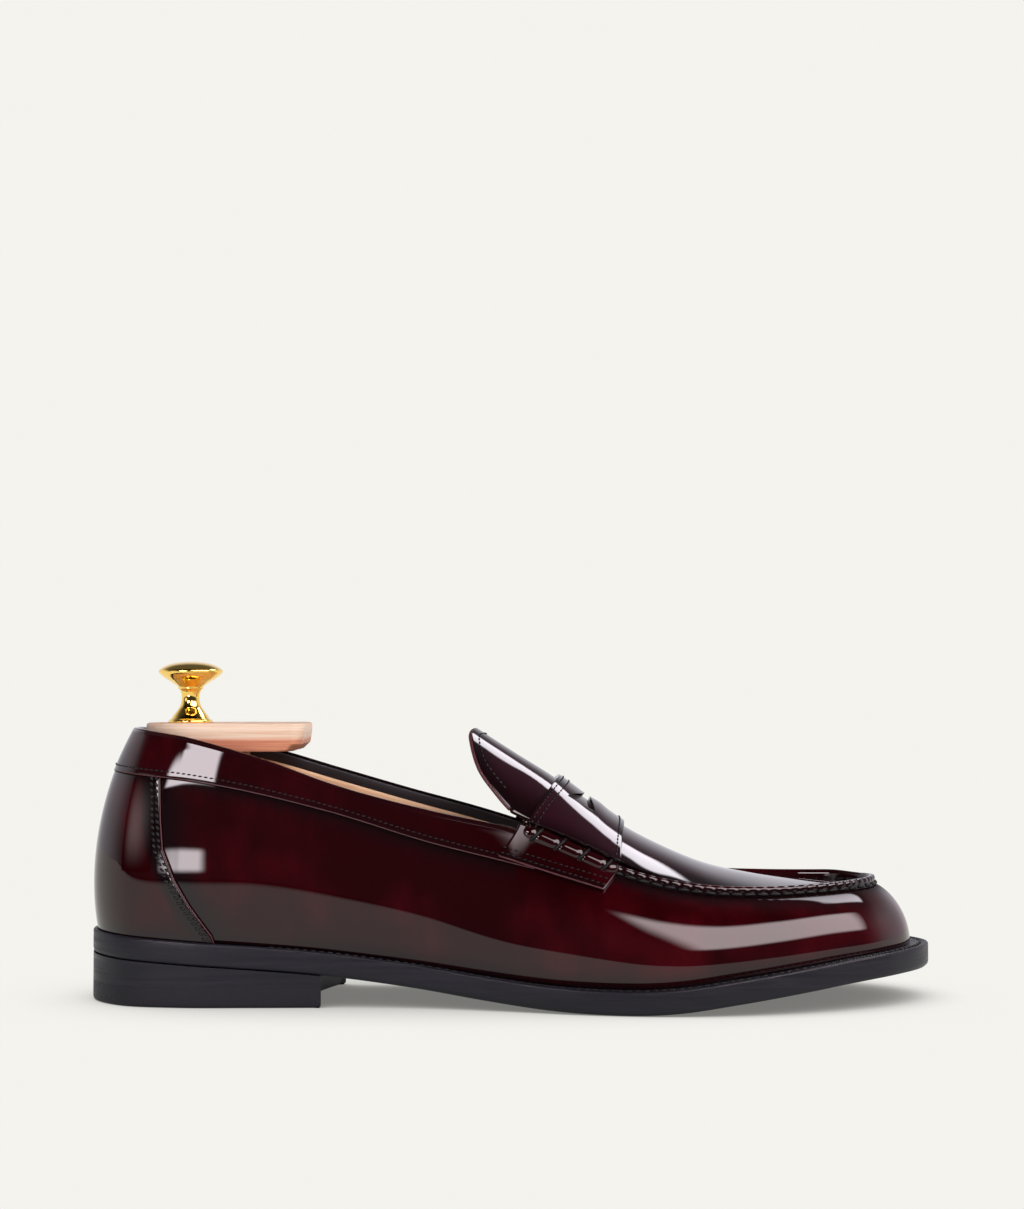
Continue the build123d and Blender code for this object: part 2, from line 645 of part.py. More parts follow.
with BuildPart() as knob_screw:
    with BuildSketch(Plane(origin=(BACK + KNOB_X, 0, PLANK_LEVELS[1] - SCREW_DEPTH))):
        Circle(SCREW_RADIUS)
    extrude(amount=SCREW_DEPTH + SCREW_UP)
finish_piece("knob_screw", knob_screw.part)

with BuildPart() as tree_heel_block:
    for level, back, half in BLOCK_LEVELS:
        with BuildSketch(PLAN.offset(level)):
            with Locations((back + half, 0)):
                Circle(half)
            with Locations(((back + half + BLOCK_FRONT) / 2, 0)):
                Rectangle(BLOCK_FRONT - back - half, 2 * half)
    loft(ruled=True)
    with BuildSketch(PLAN.offset(PLANK_LEVELS[0])):
        with Locations((PLANK[0] + PLANK[2], 0)):
            Circle(PLANK[2])
        with Locations(((PLANK[0] + PLANK[2] + PLANK[1]) / 2, 0)):
            Rectangle(PLANK[1] - PLANK[0] - PLANK[2], 2 * PLANK[2])
    extrude(amount=PLANK_LEVELS[1] - PLANK_LEVELS[0])
    front_edges = edges().filter_by(Axis.Y).group_by(Axis.X)[-1]
    fillet(front_edges.sort_by(Axis.Z)[0], PLANK_LIP)
    add(rod, mode=Mode.SUBTRACT)
    add(rod_pin.part, mode=Mode.SUBTRACT)
    add(knob_screw.part, mode=Mode.SUBTRACT)
finish_piece("tree_heel_block", tree_heel_block.part)

with BuildPart() as tree_knob:
    with BuildSketch(Plane(origin=(BACK + KNOB_X, 0, PLANK_LEVELS[1]), x_dir=(1, 0, 0), z_dir=(0, -1, 0))):
        with BuildLine():
            Polyline((SCREW_RADIUS, 0), (KNOB_FOOT, 0), (KNOB_FOOT, 1.2), KNOB_PROFILE[0])
            waist = Spline(*KNOB_PROFILE)
            flare = Spline(waist @ 1, (5.9, 12.8), (7.6, 15.0), (KNOB_RADIUS - 0.5, KNOB_RIM - 0.9))
            lip = ThreePointArc(flare @ 1, (KNOB_RADIUS, KNOB_RIM), (KNOB_RADIUS - 0.4, KNOB_RIM + 0.8))
            dome = Spline(lip @ 1, (6.2, KNOB_TALL - 0.85), (0, KNOB_TALL), tangents=[(-1, 0.6), (-1, 0)])
            Polyline(dome @ 1, (0, SCREW_UP), (SCREW_RADIUS, SCREW_UP), (SCREW_RADIUS, 0))
        make_face()
    revolve(axis=Axis((BACK + KNOB_X, 0, 0), (0, 0, 1)))
finish_piece("tree_knob", tree_knob.part)

# ---- shoe tree: tube, springs, forepart halves and their dowels ----
with BuildPart() as tree_tube:
    with BuildSketch(tree_plane(TUBE_REACH[0])):
        Circle(TUBE_RADIUS)
    extrude(amount=TUBE_REACH[1] - TUBE_REACH[0])
    with BuildSketch(tree_plane(TUBE_REACH[0])):
        Circle(ROD_RADIUS + RUNNING_FIT)
    extrude(amount=TUBE_REACH[1] - TUBE_END - TUBE_REACH[0], mode=Mode.SUBTRACT)
finish_piece("tree_tube", tree_tube.part)


def coil(plane, radius, wire, length, turns):
    """A compression spring standing on a plane, with its wire clear of both ends."""
    with BuildPart() as spring:
        with BuildLine() as path:
            Helix(pitch=(length - 1.2 * wire) / turns, height=length - 1.2 * wire, radius=radius,
                  center=plane.offset(wire * 0.6).origin, direction=plane.z_dir)
        with BuildSketch(Plane(origin=path.wire() @ 0, z_dir=path.wire() % 0)):
            Circle(wire / 2)
        sweep(path=path.wire(), is_frenet=True)
    return spring.part


spring_room = TUBE_REACH[1] - TUBE_END - ROD_REACH[1]
spring_solid = coil(tree_plane(ROD_REACH[1]), SPRING_RADIUS, SPRING_WIRE, spring_room, SPRING_TURNS)
finish_piece("tree_spring", spring_solid)

with BuildPart() as tree_dowels:
    for x, z in DOWELS:
        with BuildSketch(Plane(origin=(BACK + x, -DOWEL_REACH, z), x_dir=(1, 0, 0), z_dir=(0, 1, 0))):
            Circle(DOWEL_RADIUS)
        extrude(amount=2 * DOWEL_REACH)
finish_piece("tree_dowels", tree_dowels.part)

coils = [coil(Plane(origin=(BACK + x, -COIL_HALF, z), x_dir=(1, 0, 0), z_dir=(0, 1, 0)),
              COIL_RADIUS, 0.8, 2 * COIL_HALF, 5) for x, z in DOWELS]
finish_piece("tree_side_springs", Compound(children=coils))

with BuildPart() as forepart:
    for x, top, half, centre in FOREPART:
        base = sole_z(x, SOLE_STACK + INSOLE + SOCK + TREE_CLEAR)
        tall = top - base
        with BuildSketch(Plane(origin=(BACK + x, centre, base), x_dir=(0, 1, 0), z_dir=(1, 0, 0))):
            with BuildLine():
                bottom = Line((-0.8 * half, 0), (0.8 * half, 0))
                Spline(bottom @ 1, (half, 0.38 * tall), (0.74 * half, 0.8 * tall), (0, tall),
                       (-0.74 * half, 0.8 * tall), (-half, 0.38 * tall), bottom @ 0)
            make_face()
    loft()

tube_bar = tree_bar(TUBE_RADIUS, *TUBE_REACH)
tube_sweep = tree_bar(TUBE_RADIUS + SIDE_TRAVEL + 0.6, TUBE_REACH[0], TUBE_REACH[1] + 1)
halves = {"lateral": (-1, tube_bar, 0.0, DOWEL_REACH),
          "medial": (1, tube_sweep, RUNNING_FIT, DOWEL_REACH + 5)}
for side, (sign, tube_room, play, depth) in halves.items():
    with BuildPart() as half:
        add(forepart.part)
        with BuildSketch(Plane(origin=(0, sign * KERF / 2, 0), x_dir=(1, 0, 0), z_dir=(0, sign, 0))):
            Rectangle(2 * REACH + SOLE_LENGTH, 2 * REACH)
        extrude(amount=REACH, mode=Mode.INTERSECT)
        add(tube_room, mode=Mode.SUBTRACT)
        for x, z in DOWELS:
            with BuildSketch(Plane(origin=(BACK + x, 0, z), x_dir=(1, 0, 0), z_dir=(0, sign, 0))):
                Circle(DOWEL_RADIUS + play)
            extrude(amount=depth, mode=Mode.SUBTRACT)
            with BuildSketch(Plane(origin=(BACK + x, 0, z), x_dir=(1, 0, 0), z_dir=(0, sign, 0))):
                Circle(COIL_RADIUS + 1)
            extrude(amount=COIL_HALF, mode=Mode.SUBTRACT)
    finish_piece(f"tree_forepart_{side}", half.part)
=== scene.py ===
"""Looks of the penny loafer: one operator for each group of pieces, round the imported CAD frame."""
import math

import bmesh
import bpy
import numpy as np
from bpy.props import FloatProperty, FloatVectorProperty, PointerProperty
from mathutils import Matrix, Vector


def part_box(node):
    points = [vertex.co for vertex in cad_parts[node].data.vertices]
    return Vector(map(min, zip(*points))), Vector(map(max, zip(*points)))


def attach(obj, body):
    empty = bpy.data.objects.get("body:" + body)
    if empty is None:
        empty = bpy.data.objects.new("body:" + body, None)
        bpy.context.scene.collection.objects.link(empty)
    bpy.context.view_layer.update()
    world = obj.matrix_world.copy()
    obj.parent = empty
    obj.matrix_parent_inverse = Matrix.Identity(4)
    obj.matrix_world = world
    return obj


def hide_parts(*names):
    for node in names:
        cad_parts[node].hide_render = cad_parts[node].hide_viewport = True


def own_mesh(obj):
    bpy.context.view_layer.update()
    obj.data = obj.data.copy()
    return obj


bl_info = {
    "name": "Penny Loafer",
    "version": (1, 0, 0),
    "blender": (4, 5, 0),
    "location": "3D View > Sidebar > Loafer",
    "description": "Builds the leather, thread, sole and shoe tree of a penny loafer",
    "category": "Add Mesh",
}

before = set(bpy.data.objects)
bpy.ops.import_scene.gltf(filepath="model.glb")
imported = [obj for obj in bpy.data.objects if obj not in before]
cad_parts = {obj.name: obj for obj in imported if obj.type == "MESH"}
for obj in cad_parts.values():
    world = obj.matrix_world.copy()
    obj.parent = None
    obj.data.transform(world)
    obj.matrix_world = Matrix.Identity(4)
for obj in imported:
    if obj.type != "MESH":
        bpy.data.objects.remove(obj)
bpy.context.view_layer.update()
MM = 0.001
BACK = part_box("outsole")[0].x          # the sole's rear end, from which the tables below measure x

# ---- the shoe's shape, in mm from the heel's back, y to the medial side ----
SOLE_STACK = 8.2
LEATHER = 1.4
OVERLAY = 1.2
SOLE_BOTTOM = np.array([
    (-8, 17.0), (0, 16.6), (41, 14.1), (84, 10.8), (116, 6.8), (139, 3.4), (160, 1.0), (178, 0.1),
    (186, 0), (194, 0.1), (205, 0.8), (224, 3.4), (249, 6.9), (266, 9.1), (284, 10.6), (298, 11.1),
    (306, 11.3),
])
# clockwise from above, toe tip first: sole edge x, y, welt margin, top edge z and inset,
# low bulge and rise, high bulge and fall
WALL = np.array([
    (298, 4, 6.5, 42.8, 12.5, 0.0, 0.48, 6.0, 0.10),
    (294, -11, 6.0, 42.6, 12.5, 0.5, 0.47, 6.0, 0.10),
    (282, -26, 5.5, 42.2, 12.5, 1.0, 0.45, 7.0, 0.10),
    (262, -38.5, 5.5, 41.5, 12.5, 1.5, 0.43, 8.0, 0.10),
    (240, -47, 5.5, 41.2, 13.0, 2.5, 0.40, 8.5, 0.11),
    (216, -51.2, 5.5, 42.2, 13.5, 3.2, 0.38, 9.0, 0.12),
    (195, -51.2, 5.5, 45.4, 13.0, 3.5, 0.38, 9.0, 0.13),
    (173, -47.6, 5.0, 51.6, 11.3, 4.0, 0.38, 8.0, 0.18),
    (148, -40.3, 4.0, 60.6, 9.0, 5.0, 0.36, 5.0, 0.28),
    (120, -33.7, 2.8, 67.3, 4.0, 6.0, 0.35, 3.5, 0.33),
    (90, -31.2, 2.2, 75.4, 2.2, 6.0, 0.35, 3.0, 0.35),
    (60, -31.6, 2.2, 86.0, 3.4, 5.0, 0.33, 5.0, 0.35),
    (34, -31.3, 2.5, 92.7, 6.2, 4.0, 0.30, 7.5, 0.35),
    (14, -26, 2.7, 95.0, 9.4, 3.8, 0.29, 10.5, 0.345),
    (3.3, -14, 2.7, 95.5, 11.6, 3.8, 0.287, 12.5, 0.343),
    (0, 0, 2.7, 95.6, 12.6, 3.8, 0.286, 13.0, 0.343),
    (3.3, 14, 2.7, 95.5, 11.6, 3.8, 0.287, 12.5, 0.343),
    (14, 26, 2.7, 95.0, 9.4, 3.8, 0.29, 10.5, 0.345),
    (34, 31.3, 2.5, 92.9, 6.0, 4.0, 0.30, 7.5, 0.35),
    (60, 31.4, 2.2, 87.6, 1.6, 6.0, 0.33, 3.8, 0.35),
    (85, 29.4, 2.2, 80.2, -1.6, 7.0, 0.35, 2.0, 0.35),
    (110, 28.3, 2.8, 73.0, -2.0, 7.0, 0.35, 2.0, 0.35),
    (135, 31.2, 3.5, 66.0, 1.8, 6.0, 0.35, 3.5, 0.33),
    (160, 39, 4.5, 57.0, 7.4, 5.0, 0.37, 5.5, 0.25),
    (184, 47.3, 5.0, 48.2, 10.6, 4.0, 0.38, 8.0, 0.16),
    (205, 51, 5.5, 43.4, 12.6, 3.5, 0.38, 9.0, 0.12),
    (225, 50.9, 5.5, 41.6, 13.0, 3.0, 0.39, 9.0, 0.12),
    (246, 47.3, 5.5, 41.2, 12.8, 2.5, 0.40, 8.5, 0.11),
    (266, 40.8, 5.5, 41.5, 12.5, 2.0, 0.43, 8.0, 0.10),
    (282, 31.6, 5.5, 42.2, 12.5, 1.0, 0.45, 7.0, 0.10),
    (293.7, 18.4, 6.0, 42.7, 12.5, 0.5, 0.47, 6.0, 0.10),
])
ROWS = len(WALL)
COLLAR_ROWS = (7.75, 22.95)
RIM = 3.1                               # height of the apron seam's rim above the wall
BAND_FOOT = np.array([(-5, 80.4), (7.2, 79.8), (41, 76.8), (86, 66.8), (120.7, 56.1), (150, 48.4)])
# z, x of the heel cover's front edge
HEEL_SEAM = np.array([(20, 47.5), (24.6, 45.8), (35, 38.2), (43.6, 33.1), (53.9, 28.9), (64.2, 27.9),
                      (76.9, 27.2), (90, 27.2)])
# plug and tongue: x, height of the middle, of the edge, half width, y of the middle
PLUG_LINE = np.array([
    (128, 101.0, 73.0, 28.0, 0.0), (140, 93.0, 67.5, 28.0, 0.0), (150, 86.6, 63.0, 28.0, 0.0),
    (165, 77.2, 57.0, 30.5, 0.0), (176, 69.2, 52.4, 32.3, 0.0), (190, 59.8, 46.8, 33.4, 0.0),
    (202, 53.6, 42.8, 33.2, 0.0), (218, 47.1, 40.6, 32.4, 0.0), (235, 43.2, 39.8, 30.5, 0.5),
    (250, 41.2, 39.5, 28.0, 1.0), (265, 40.1, 39.3, 24.5, 2.0), (277, 39.8, 39.2, 21.0, 3.5),
    (290, 39.7, 39.2, 18.0, 5.0),
])
CROWN_POWER = 2.2
TONGUE_EDGE = np.array([(150, -27), (144.8, -24), (137.8, -20), (134.9, -12), (136.8, 0), (134.9, 12),
                        (137.8, 20), (144.8, 24), (150, 27)])


def curve_through(table, at):
    """Rows of a table (its first column is the place) at some places, on a smooth curve through it."""
    places, values = table[:, 0], table[:, 1:]
    slopes = np.gradient(values, places, axis=0)
    at = np.asarray(at, float)
    i = np.clip(np.searchsorted(places, at, side="right") - 1, 0, len(places) - 2)
    step = (places[i + 1] - places[i])[..., None]
    t = (at - places[i])[..., None] / step
    return ((2 * t**3 - 3 * t**2 + 1) * values[i] + (3 * t**2 - 2 * t**3) * values[i + 1]
            + step * ((t**3 - 2 * t**2 + t) * slopes[i] + (t**3 - t**2) * slopes[i + 1]))


def value_at(table, at):
    return curve_through(table, at)[..., 0]


def sole_z(x, lift=0.0):
    return value_at(SOLE_BOTTOM, x) + lift


WRAP = 3
_loop = np.concatenate([WALL[-WRAP:], WALL, WALL[:WRAP]])
_places = np.concatenate([[0], np.cumsum(np.hypot(*np.diff(_loop[:, :2], axis=0).T))])
LOOP = np.column_stack([_places, _loop])


def wall_rows(rows):
    """Sole edge, direction out and the other columns at some rows, which may lie between two."""
    place = np.interp(np.asarray(rows, float) % ROWS + WRAP, np.arange(len(LOOP)), LOOP[:, 0])
    here = curve_through(LOOP, place)
    along = curve_through(LOOP, place + 0.5)[..., :2] - curve_through(LOOP, place - 0.5)[..., :2]
    along = along / np.linalg.norm(along, axis=-1, keepdims=True)
    out = np.stack([-along[..., 1], along[..., 0]], axis=-1)
    return here[..., :2], out, here[..., 2:]


def smooth_step(x):
    x = np.clip(x, 0, 1)
    return x * x * (3 - 2 * x)


def rows_from_toe(rows):
    rows = np.asarray(rows, float) % ROWS
    return np.minimum(rows, ROWS - rows)


def ridge_height(rows):
    """How far the apron seam's rim stands above the wall: nothing behind the strap."""
    ahead = rows_from_toe(rows)
    return RIM * smooth_step((8.3 - ahead) / 1.5)


def wall(rows, heights, depths=0.0, lifts=0.0):
    """Points of the upper, in mm: height 0 at the welt to 1 at the top edge, depth into the leather,
    lift beyond the height along the surface."""
    given = (np.asarray(values, float) for values in (rows, heights, depths, lifts))
    rows, v, depth, lift = np.broadcast_arrays(*given)
    edge, out, values = wall_rows(rows)
    margin, top, inset, low_bulge, low_rise, high_bulge, high_fall = np.moveaxis(values, -1, 0)
    top = top - ridge_height(rows)
    low = sole_z(edge[..., 0] - out[..., 0] * margin, SOLE_STACK)
    tall = top - low
    ends = np.stack([np.stack([0 * low, low], -1), np.stack([low_bulge, low + low_rise * tall], -1),
                     np.stack([high_bulge - inset, top - high_fall * tall], -1),
                     np.stack([-inset, top], -1)])
    weights = np.stack([(1 - v)**3, 3 * v * (1 - v)**2, 3 * v**2 * (1 - v), v**3])
    point = (weights[..., None] * ends).sum(0)
    speed = (np.stack([(1 - v)**2, 2 * v * (1 - v), v**2])[..., None] * np.diff(ends, axis=0)).sum(0)
    speed = speed / np.linalg.norm(speed, axis=-1, keepdims=True)
    normal = np.stack([speed[..., 1], -speed[..., 0]], -1)
    point = point - depth[..., None] * normal + lift[..., None] * speed
    plan = edge + out * (point[..., :1] - margin[..., None])
    return np.concatenate([plan, point[..., 1:]], -1)


def rows_spaced(start, end, spacing):
    """Rows from start to end, about so many mm apart round the sole."""
    fine = np.linspace(start, end, 400)
    edge = wall_rows(fine)[0]
    run = np.concatenate([[0], np.cumsum(np.linalg.norm(np.diff(edge, axis=0), axis=1))])
    return np.interp(np.linspace(0, run[-1], max(3, int(run[-1] / spacing))), run, fine)


def height_at_z(rows, z):
    """Wall heights where the outer face is at some z."""
    low, high = np.zeros(np.shape(rows)), np.ones(np.shape(rows))
    for _ in range(18):
        middle = (low + high) / 2
        below = wall(rows, middle)[..., 2] < z
        low, high = np.where(below, middle, low), np.where(below, high, middle)
    return low


def band_foot(rows):
    edge = wall_rows(rows)[0]
    return height_at_z(rows, value_at(BAND_FOOT, edge[..., 0]))


def apron(x, y, rise=0.0):
    """Points of the plug and tongue in mm, raised square to the surface."""
    x, y, rise = np.broadcast_arrays(np.asarray(x, float), np.asarray(y, float), np.asarray(rise, float))

    def height(x, y):
        middle, edge, half, centre = np.moveaxis(curve_through(PLUG_LINE, x), -1, 0)
        return edge + (middle - edge) * (1 - np.abs((y - centre) / half)**CROWN_POWER)

    step = 0.2
    slope_x = (height(x + step, y) - height(x - step, y)) / (2 * step)
    slope_y = (height(x, y + step) - height(x, y - step)) / (2 * step)
    normal = np.stack([-slope_x, -slope_y, np.ones_like(x)], -1)
    normal = normal / np.linalg.norm(normal, axis=-1, keepdims=True)
    return np.stack([x, y, height(x, y)], -1) + rise[..., None] * normal


def seam_plan(rows, inside):
    """Plan points inside the apron seam."""
    edge, out, values = wall_rows(rows)
    return edge - out * (values[..., 0] + values[..., 2] + inside)[..., None]


# ---- meshes ----
def to_metres(points):
    points = np.asarray(points, float) * MM
    points[..., 0] += BACK
    return points


def link(name, mesh):
    piece = bpy.data.objects.new(name.replace(" ", "_").lower(), mesh)
    bpy.context.scene.collection.objects.link(piece)
    return piece


def grid_piece(name, points, wrap=False, marks=None, outward=None, sharp=0):
    """A quad sheet over points (rows, columns, 3) in mm, with its distances along and across in metres and
    float marks.
    """
    points = to_metres(points)
    rows, columns = points.shape[:2]
    index = np.arange(rows * columns).reshape(rows, columns)
    if wrap:
        index = np.column_stack([index, index[:, :1]])
    faces = np.stack([index[:-1, :-1], index[:-1, 1:], index[1:, 1:], index[1:, :-1]], -1).reshape(-1, 4)
    mesh = bpy.data.meshes.new(name)
    mesh.from_pydata(points.reshape(-1, 3).tolist(), [], faces.tolist())
    steps_u = np.linalg.norm(np.diff(points, axis=0), axis=-1).mean(1)
    steps_v = np.linalg.norm(np.diff(points, axis=1), axis=-1).mean(0)
    u = np.concatenate([[0], np.cumsum(steps_u)])
    v = np.concatenate([[0], np.cumsum(steps_v)])
    add_mark(mesh, "along", np.repeat(u, columns))
    add_mark(mesh, "across", np.tile(v, rows))
    for mark, values in (marks or {}).items():
        add_mark(mesh, mark, np.broadcast_to(values, (rows, columns)).reshape(-1))
    mesh.shade_smooth()
    if sharp:
        mesh.set_sharp_from_angle(angle=math.radians(sharp))
    if outward is not None:
        middle = mesh.polygons[len(mesh.polygons) // 2]
        if middle.normal.dot(Vector(outward)) < 0:
            mesh.flip_normals()
    return link(name, mesh)


def add_mark(mesh, name, values):
    mark = mesh.attributes.new(name, "FLOAT", "POINT")
    mark.data.foreach_set("value", np.ascontiguousarray(values, np.float32))


def apply_modifiers(piece):
    """Turns a piece and its modifiers into a plain mesh."""
    depsgraph = bpy.context.evaluated_depsgraph_get()
    mesh = bpy.data.meshes.new_from_object(piece.evaluated_get(depsgraph))
    piece.modifiers.clear()
    piece.data = mesh
    return piece


def thicken(piece, thickness, bevel=0.25, segments=2, even=True):
    """Gives a sheet its thickness under its face, with rounded cut edges."""
    solid = piece.modifiers.new("thickness", "SOLIDIFY")
    solid.thickness = thickness * MM
    solid.offset = -1
    solid.use_even_offset = even
    if bevel:
        rounding = piece.modifiers.new("cut edges", "BEVEL")
        rounding.width = bevel * MM
        rounding.segments = segments
        rounding.limit_method = "ANGLE"
        rounding.angle_limit = math.radians(50)
        rounding.harden_normals = False
    return apply_modifiers(piece)


def tube(name, paths, radius, sides=8):
    """Round threads along paths in mm, closed at both ends."""
    mesh = bmesh.new()
    for path in paths:
        path = to_metres(path)
        tangents = np.gradient(path, axis=0)
        tangents /= np.linalg.norm(tangents, axis=1, keepdims=True)
        side = np.cross(tangents[0], (0.13, 0.37, 0.92))
        rings = []
        for i in range(len(path)):
            side = side - tangents[i] * side.dot(tangents[i])
            side = side / np.linalg.norm(side)
            up = np.cross(tangents[i], side)
            turns = [2 * math.pi * k / sides for k in range(sides)]
            spokes = [math.cos(turn) * side + math.sin(turn) * up for turn in turns]
            rings.append([mesh.verts.new(path[i] + radius * MM * spoke) for spoke in spokes])
        for a, b in zip(rings, rings[1:]):
            for k in range(sides):
                mesh.faces.new((a[k], a[(k + 1) % sides], b[(k + 1) % sides], b[k]))
        mesh.faces.new(list(reversed(rings[0])))
        mesh.faces.new(rings[-1])
    bmesh.ops.recalc_face_normals(mesh, faces=mesh.faces)
    data = bpy.data.meshes.new(name)
    mesh.to_mesh(data)
    mesh.free()
    data.shade_smooth()
    return link(name, data)


def weld(piece, distance=2e-5, turn_out=True):
    """Joins points that coincide, and turns the faces of a closed piece outward."""
    mesh = bmesh.new()
    mesh.from_mesh(piece.data)
    bmesh.ops.remove_doubles(mesh, verts=mesh.verts, dist=distance)
    if turn_out:
        bmesh.ops.recalc_face_normals(mesh, faces=mesh.faces)
    mesh.to_mesh(piece.data)
    mesh.free()


def settle(piece, slot, *nodes, body="shoe", finish=None):
    """Dresses a finished piece, makes it ride on its body and stand for its CAD nodes."""
    piece.data.materials.clear()
    piece.data.materials.append((finish or FINISHES[slot])())
    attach(piece, body)
    if nodes:
        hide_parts(*nodes)
    return piece


# ---- shader maths ----
class Maths:
    """A socket that takes part in Python expressions: each operator adds a Math node."""

    def __init__(self, finish, socket):
        self.finish, self.socket = finish, socket

    def combine(self, operation, first, second):
        return self.finish.node("ShaderNodeMath", {"operation": operation}, [first, second])

    def __add__(self, other):
        return self.combine("ADD", self, other)

    def __sub__(self, other):
        return self.combine("SUBTRACT", self, other)

    def __rsub__(self, other):
        return self.combine("SUBTRACT", other, self)

    def __mul__(self, other):
        return self.combine("MULTIPLY", self, other)

    __radd__ = __add__
    __rmul__ = __mul__


class Finish:
    """One material's nodes, round a Principled shader."""

    def __init__(self, name, **constants):
        self.material = bpy.data.materials.new(name)
        self.material.use_nodes = True
        self.tree = self.material.node_tree
        self.shader = self.tree.nodes["Principled BSDF"]
        self.set(**constants)

    def set(self, **values):
        for key, value in values.items():
            self.feed(self.shader.inputs[key.replace("_", " ")], value)

    def feed(self, socket, value):
        if isinstance(value, Maths):
            self.tree.links.new(value.socket, socket)
        elif isinstance(value, (tuple, list)) and len(value) == 3 and len(socket.default_value) == 4:
            socket.default_value = (*value, 1)
        else:
            socket.default_value = value

    def node(self, kind, settings=None, values=None, output=0):
        """Adds a node: settings first, then its sockets by name or in order."""
        made = self.tree.nodes.new(kind)
        for key, value in (settings or {}).items():
            if key == "stops":
                ramp = made.color_ramp
                while len(ramp.elements) < len(value):
                    ramp.elements.new(0.5)
                for element, (place, colour) in zip(ramp.elements, value):
                    element.position = place
                    element.color = (*colour, 1) if len(colour) == 3 else colour
            else:
                setattr(made, key, value)
        pairs = values.items() if isinstance(values, dict) else enumerate(values or [])
        for key, value in pairs:
            self.feed(made.inputs[key], value)
        return Maths(self, made.outputs[output])

    def place(self, scale=(1, 1, 1), turn=(0, 0, 0)):
        coords = self.node("ShaderNodeTexCoord", output="Object")
        return self.node("ShaderNodeMapping", {}, {"Vector": coords, "Scale": scale, "Rotation": turn})

    def mark(self, name):
        return self.node("ShaderNodeAttribute", {"attribute_name": name}, output="Fac")

    def noise(self, vector, scale, detail=3.0, rough=0.5):
        return self.node("ShaderNodeTexNoise", {}, {"Vector": vector, "Scale": scale, "Detail": detail,
                                                    "Roughness": rough})

    def range(self, value, low, high, to_low=0.0, to_high=1.0):
        return self.node("ShaderNodeMapRange", {"interpolation_type": "SMOOTHSTEP"},
                         {"Value": value, "From Min": low, "From Max": high, "To Min": to_low,
                          "To Max": to_high})

    def mix(self, factor, first, second):
        made = self.tree.nodes.new("ShaderNodeMix")
        made.data_type = "RGBA"
        for place, value in ((0, factor), (6, first), (7, second)):
            self.feed(made.inputs[place], value)
        return Maths(self, made.outputs[2])

    def bump(self, height, distance, strength=1.0, normal=None):
        values = {"Height": height, "Distance": distance, "Strength": strength}
        if normal is not None:
            values["Normal"] = normal
        return self.node("ShaderNodeBump", {}, values)


def srgb(red, green, blue):
    """Linear colour from display values of 0 to 255."""
    shares = (level / 255 for level in (red, green, blue))
    return tuple(c / 12.92 if c <= 10 / 255 else ((c + 0.055) / 1.055)**2.4 for c in shares)


COLOURS = {
    "oxblood": ("Oxblood", "Red that shows through where the leather is rubbed", srgb(56, 4, 11)),
    # This near-black also paints shade: at the foot of the upper by the welt and round the strap's slot.
    "burnish": ("Burnish", "Near-black of the antiqued seams and edges", srgb(15, 6, 8)),
    "aubergine": ("Aubergine", "Plug, tongue and strap", srgb(36, 14, 22)),
    "lining": ("Lining", "Tan calf inside", srgb(205, 160, 98)),
    "facing": ("Facing", "Black strip inside the topline", srgb(22, 21, 22)),
    "sole": ("Sole", "Inked edge of sole, welt and heel", srgb(18, 18, 25)),
    "thread": ("Thread", "Waxed black thread", srgb(12, 10, 11)),
    "cedar": ("Cedar", "Red heartwood", srgb(192, 136, 104)),
    "sapwood": ("Sapwood", "Pale upper part of the plank", srgb(206, 190, 168)),
    "brass": ("Brass", "Polished knob", srgb(255, 214, 112)),
    "backdrop": ("Backdrop", "Floor and backdrop", srgb(244, 243, 238)),
}
SIZES = {
    "apron_pitch": ("Apron stitch pitch", "Distance between hand stitches on the apron seam", 4.6),
    "fine_pitch": ("Fine stitch pitch", "Distance between machine stitches", 2.0),
    "welt_pitch": ("Welt stitch pitch", "Distance between welt stitches", 2.9),
    "edge_bevel": ("Cut edge", "Rounding of the leather's cut edges", 0.3),
}


def colour_prop(label, note, default):
    return FloatVectorProperty(name=label, description=note, default=default, subtype="COLOR", size=3,
                               min=0, max=1)


def size_prop(label, note, default):
    return FloatProperty(name=label, description=note, default=default * MM, subtype="DISTANCE",
                         unit="LENGTH")


class LoaferColours(bpy.types.PropertyGroup):
    """Colours of the shoe's leathers, threads and tree"""
    __annotations__ = {key: colour_prop(*value) for key, value in COLOURS.items()}


class LoaferSizes(bpy.types.PropertyGroup):
    """Stitch pitches and edge rounding"""
    __annotations__ = {key: size_prop(*value) for key, value in SIZES.items()}


def hue(name):
    return tuple(getattr(bpy.context.scene.loafer_colours, name))


def size(name):
    """A size from the panel, in mm."""
    return getattr(bpy.context.scene.loafer_sizes, name) / MM


def once(make):
    """Makes a material the first time it is asked for."""
    def get():
        found = bpy.data.materials.get(make.__name__)
        return found or make(make.__name__)
    return get


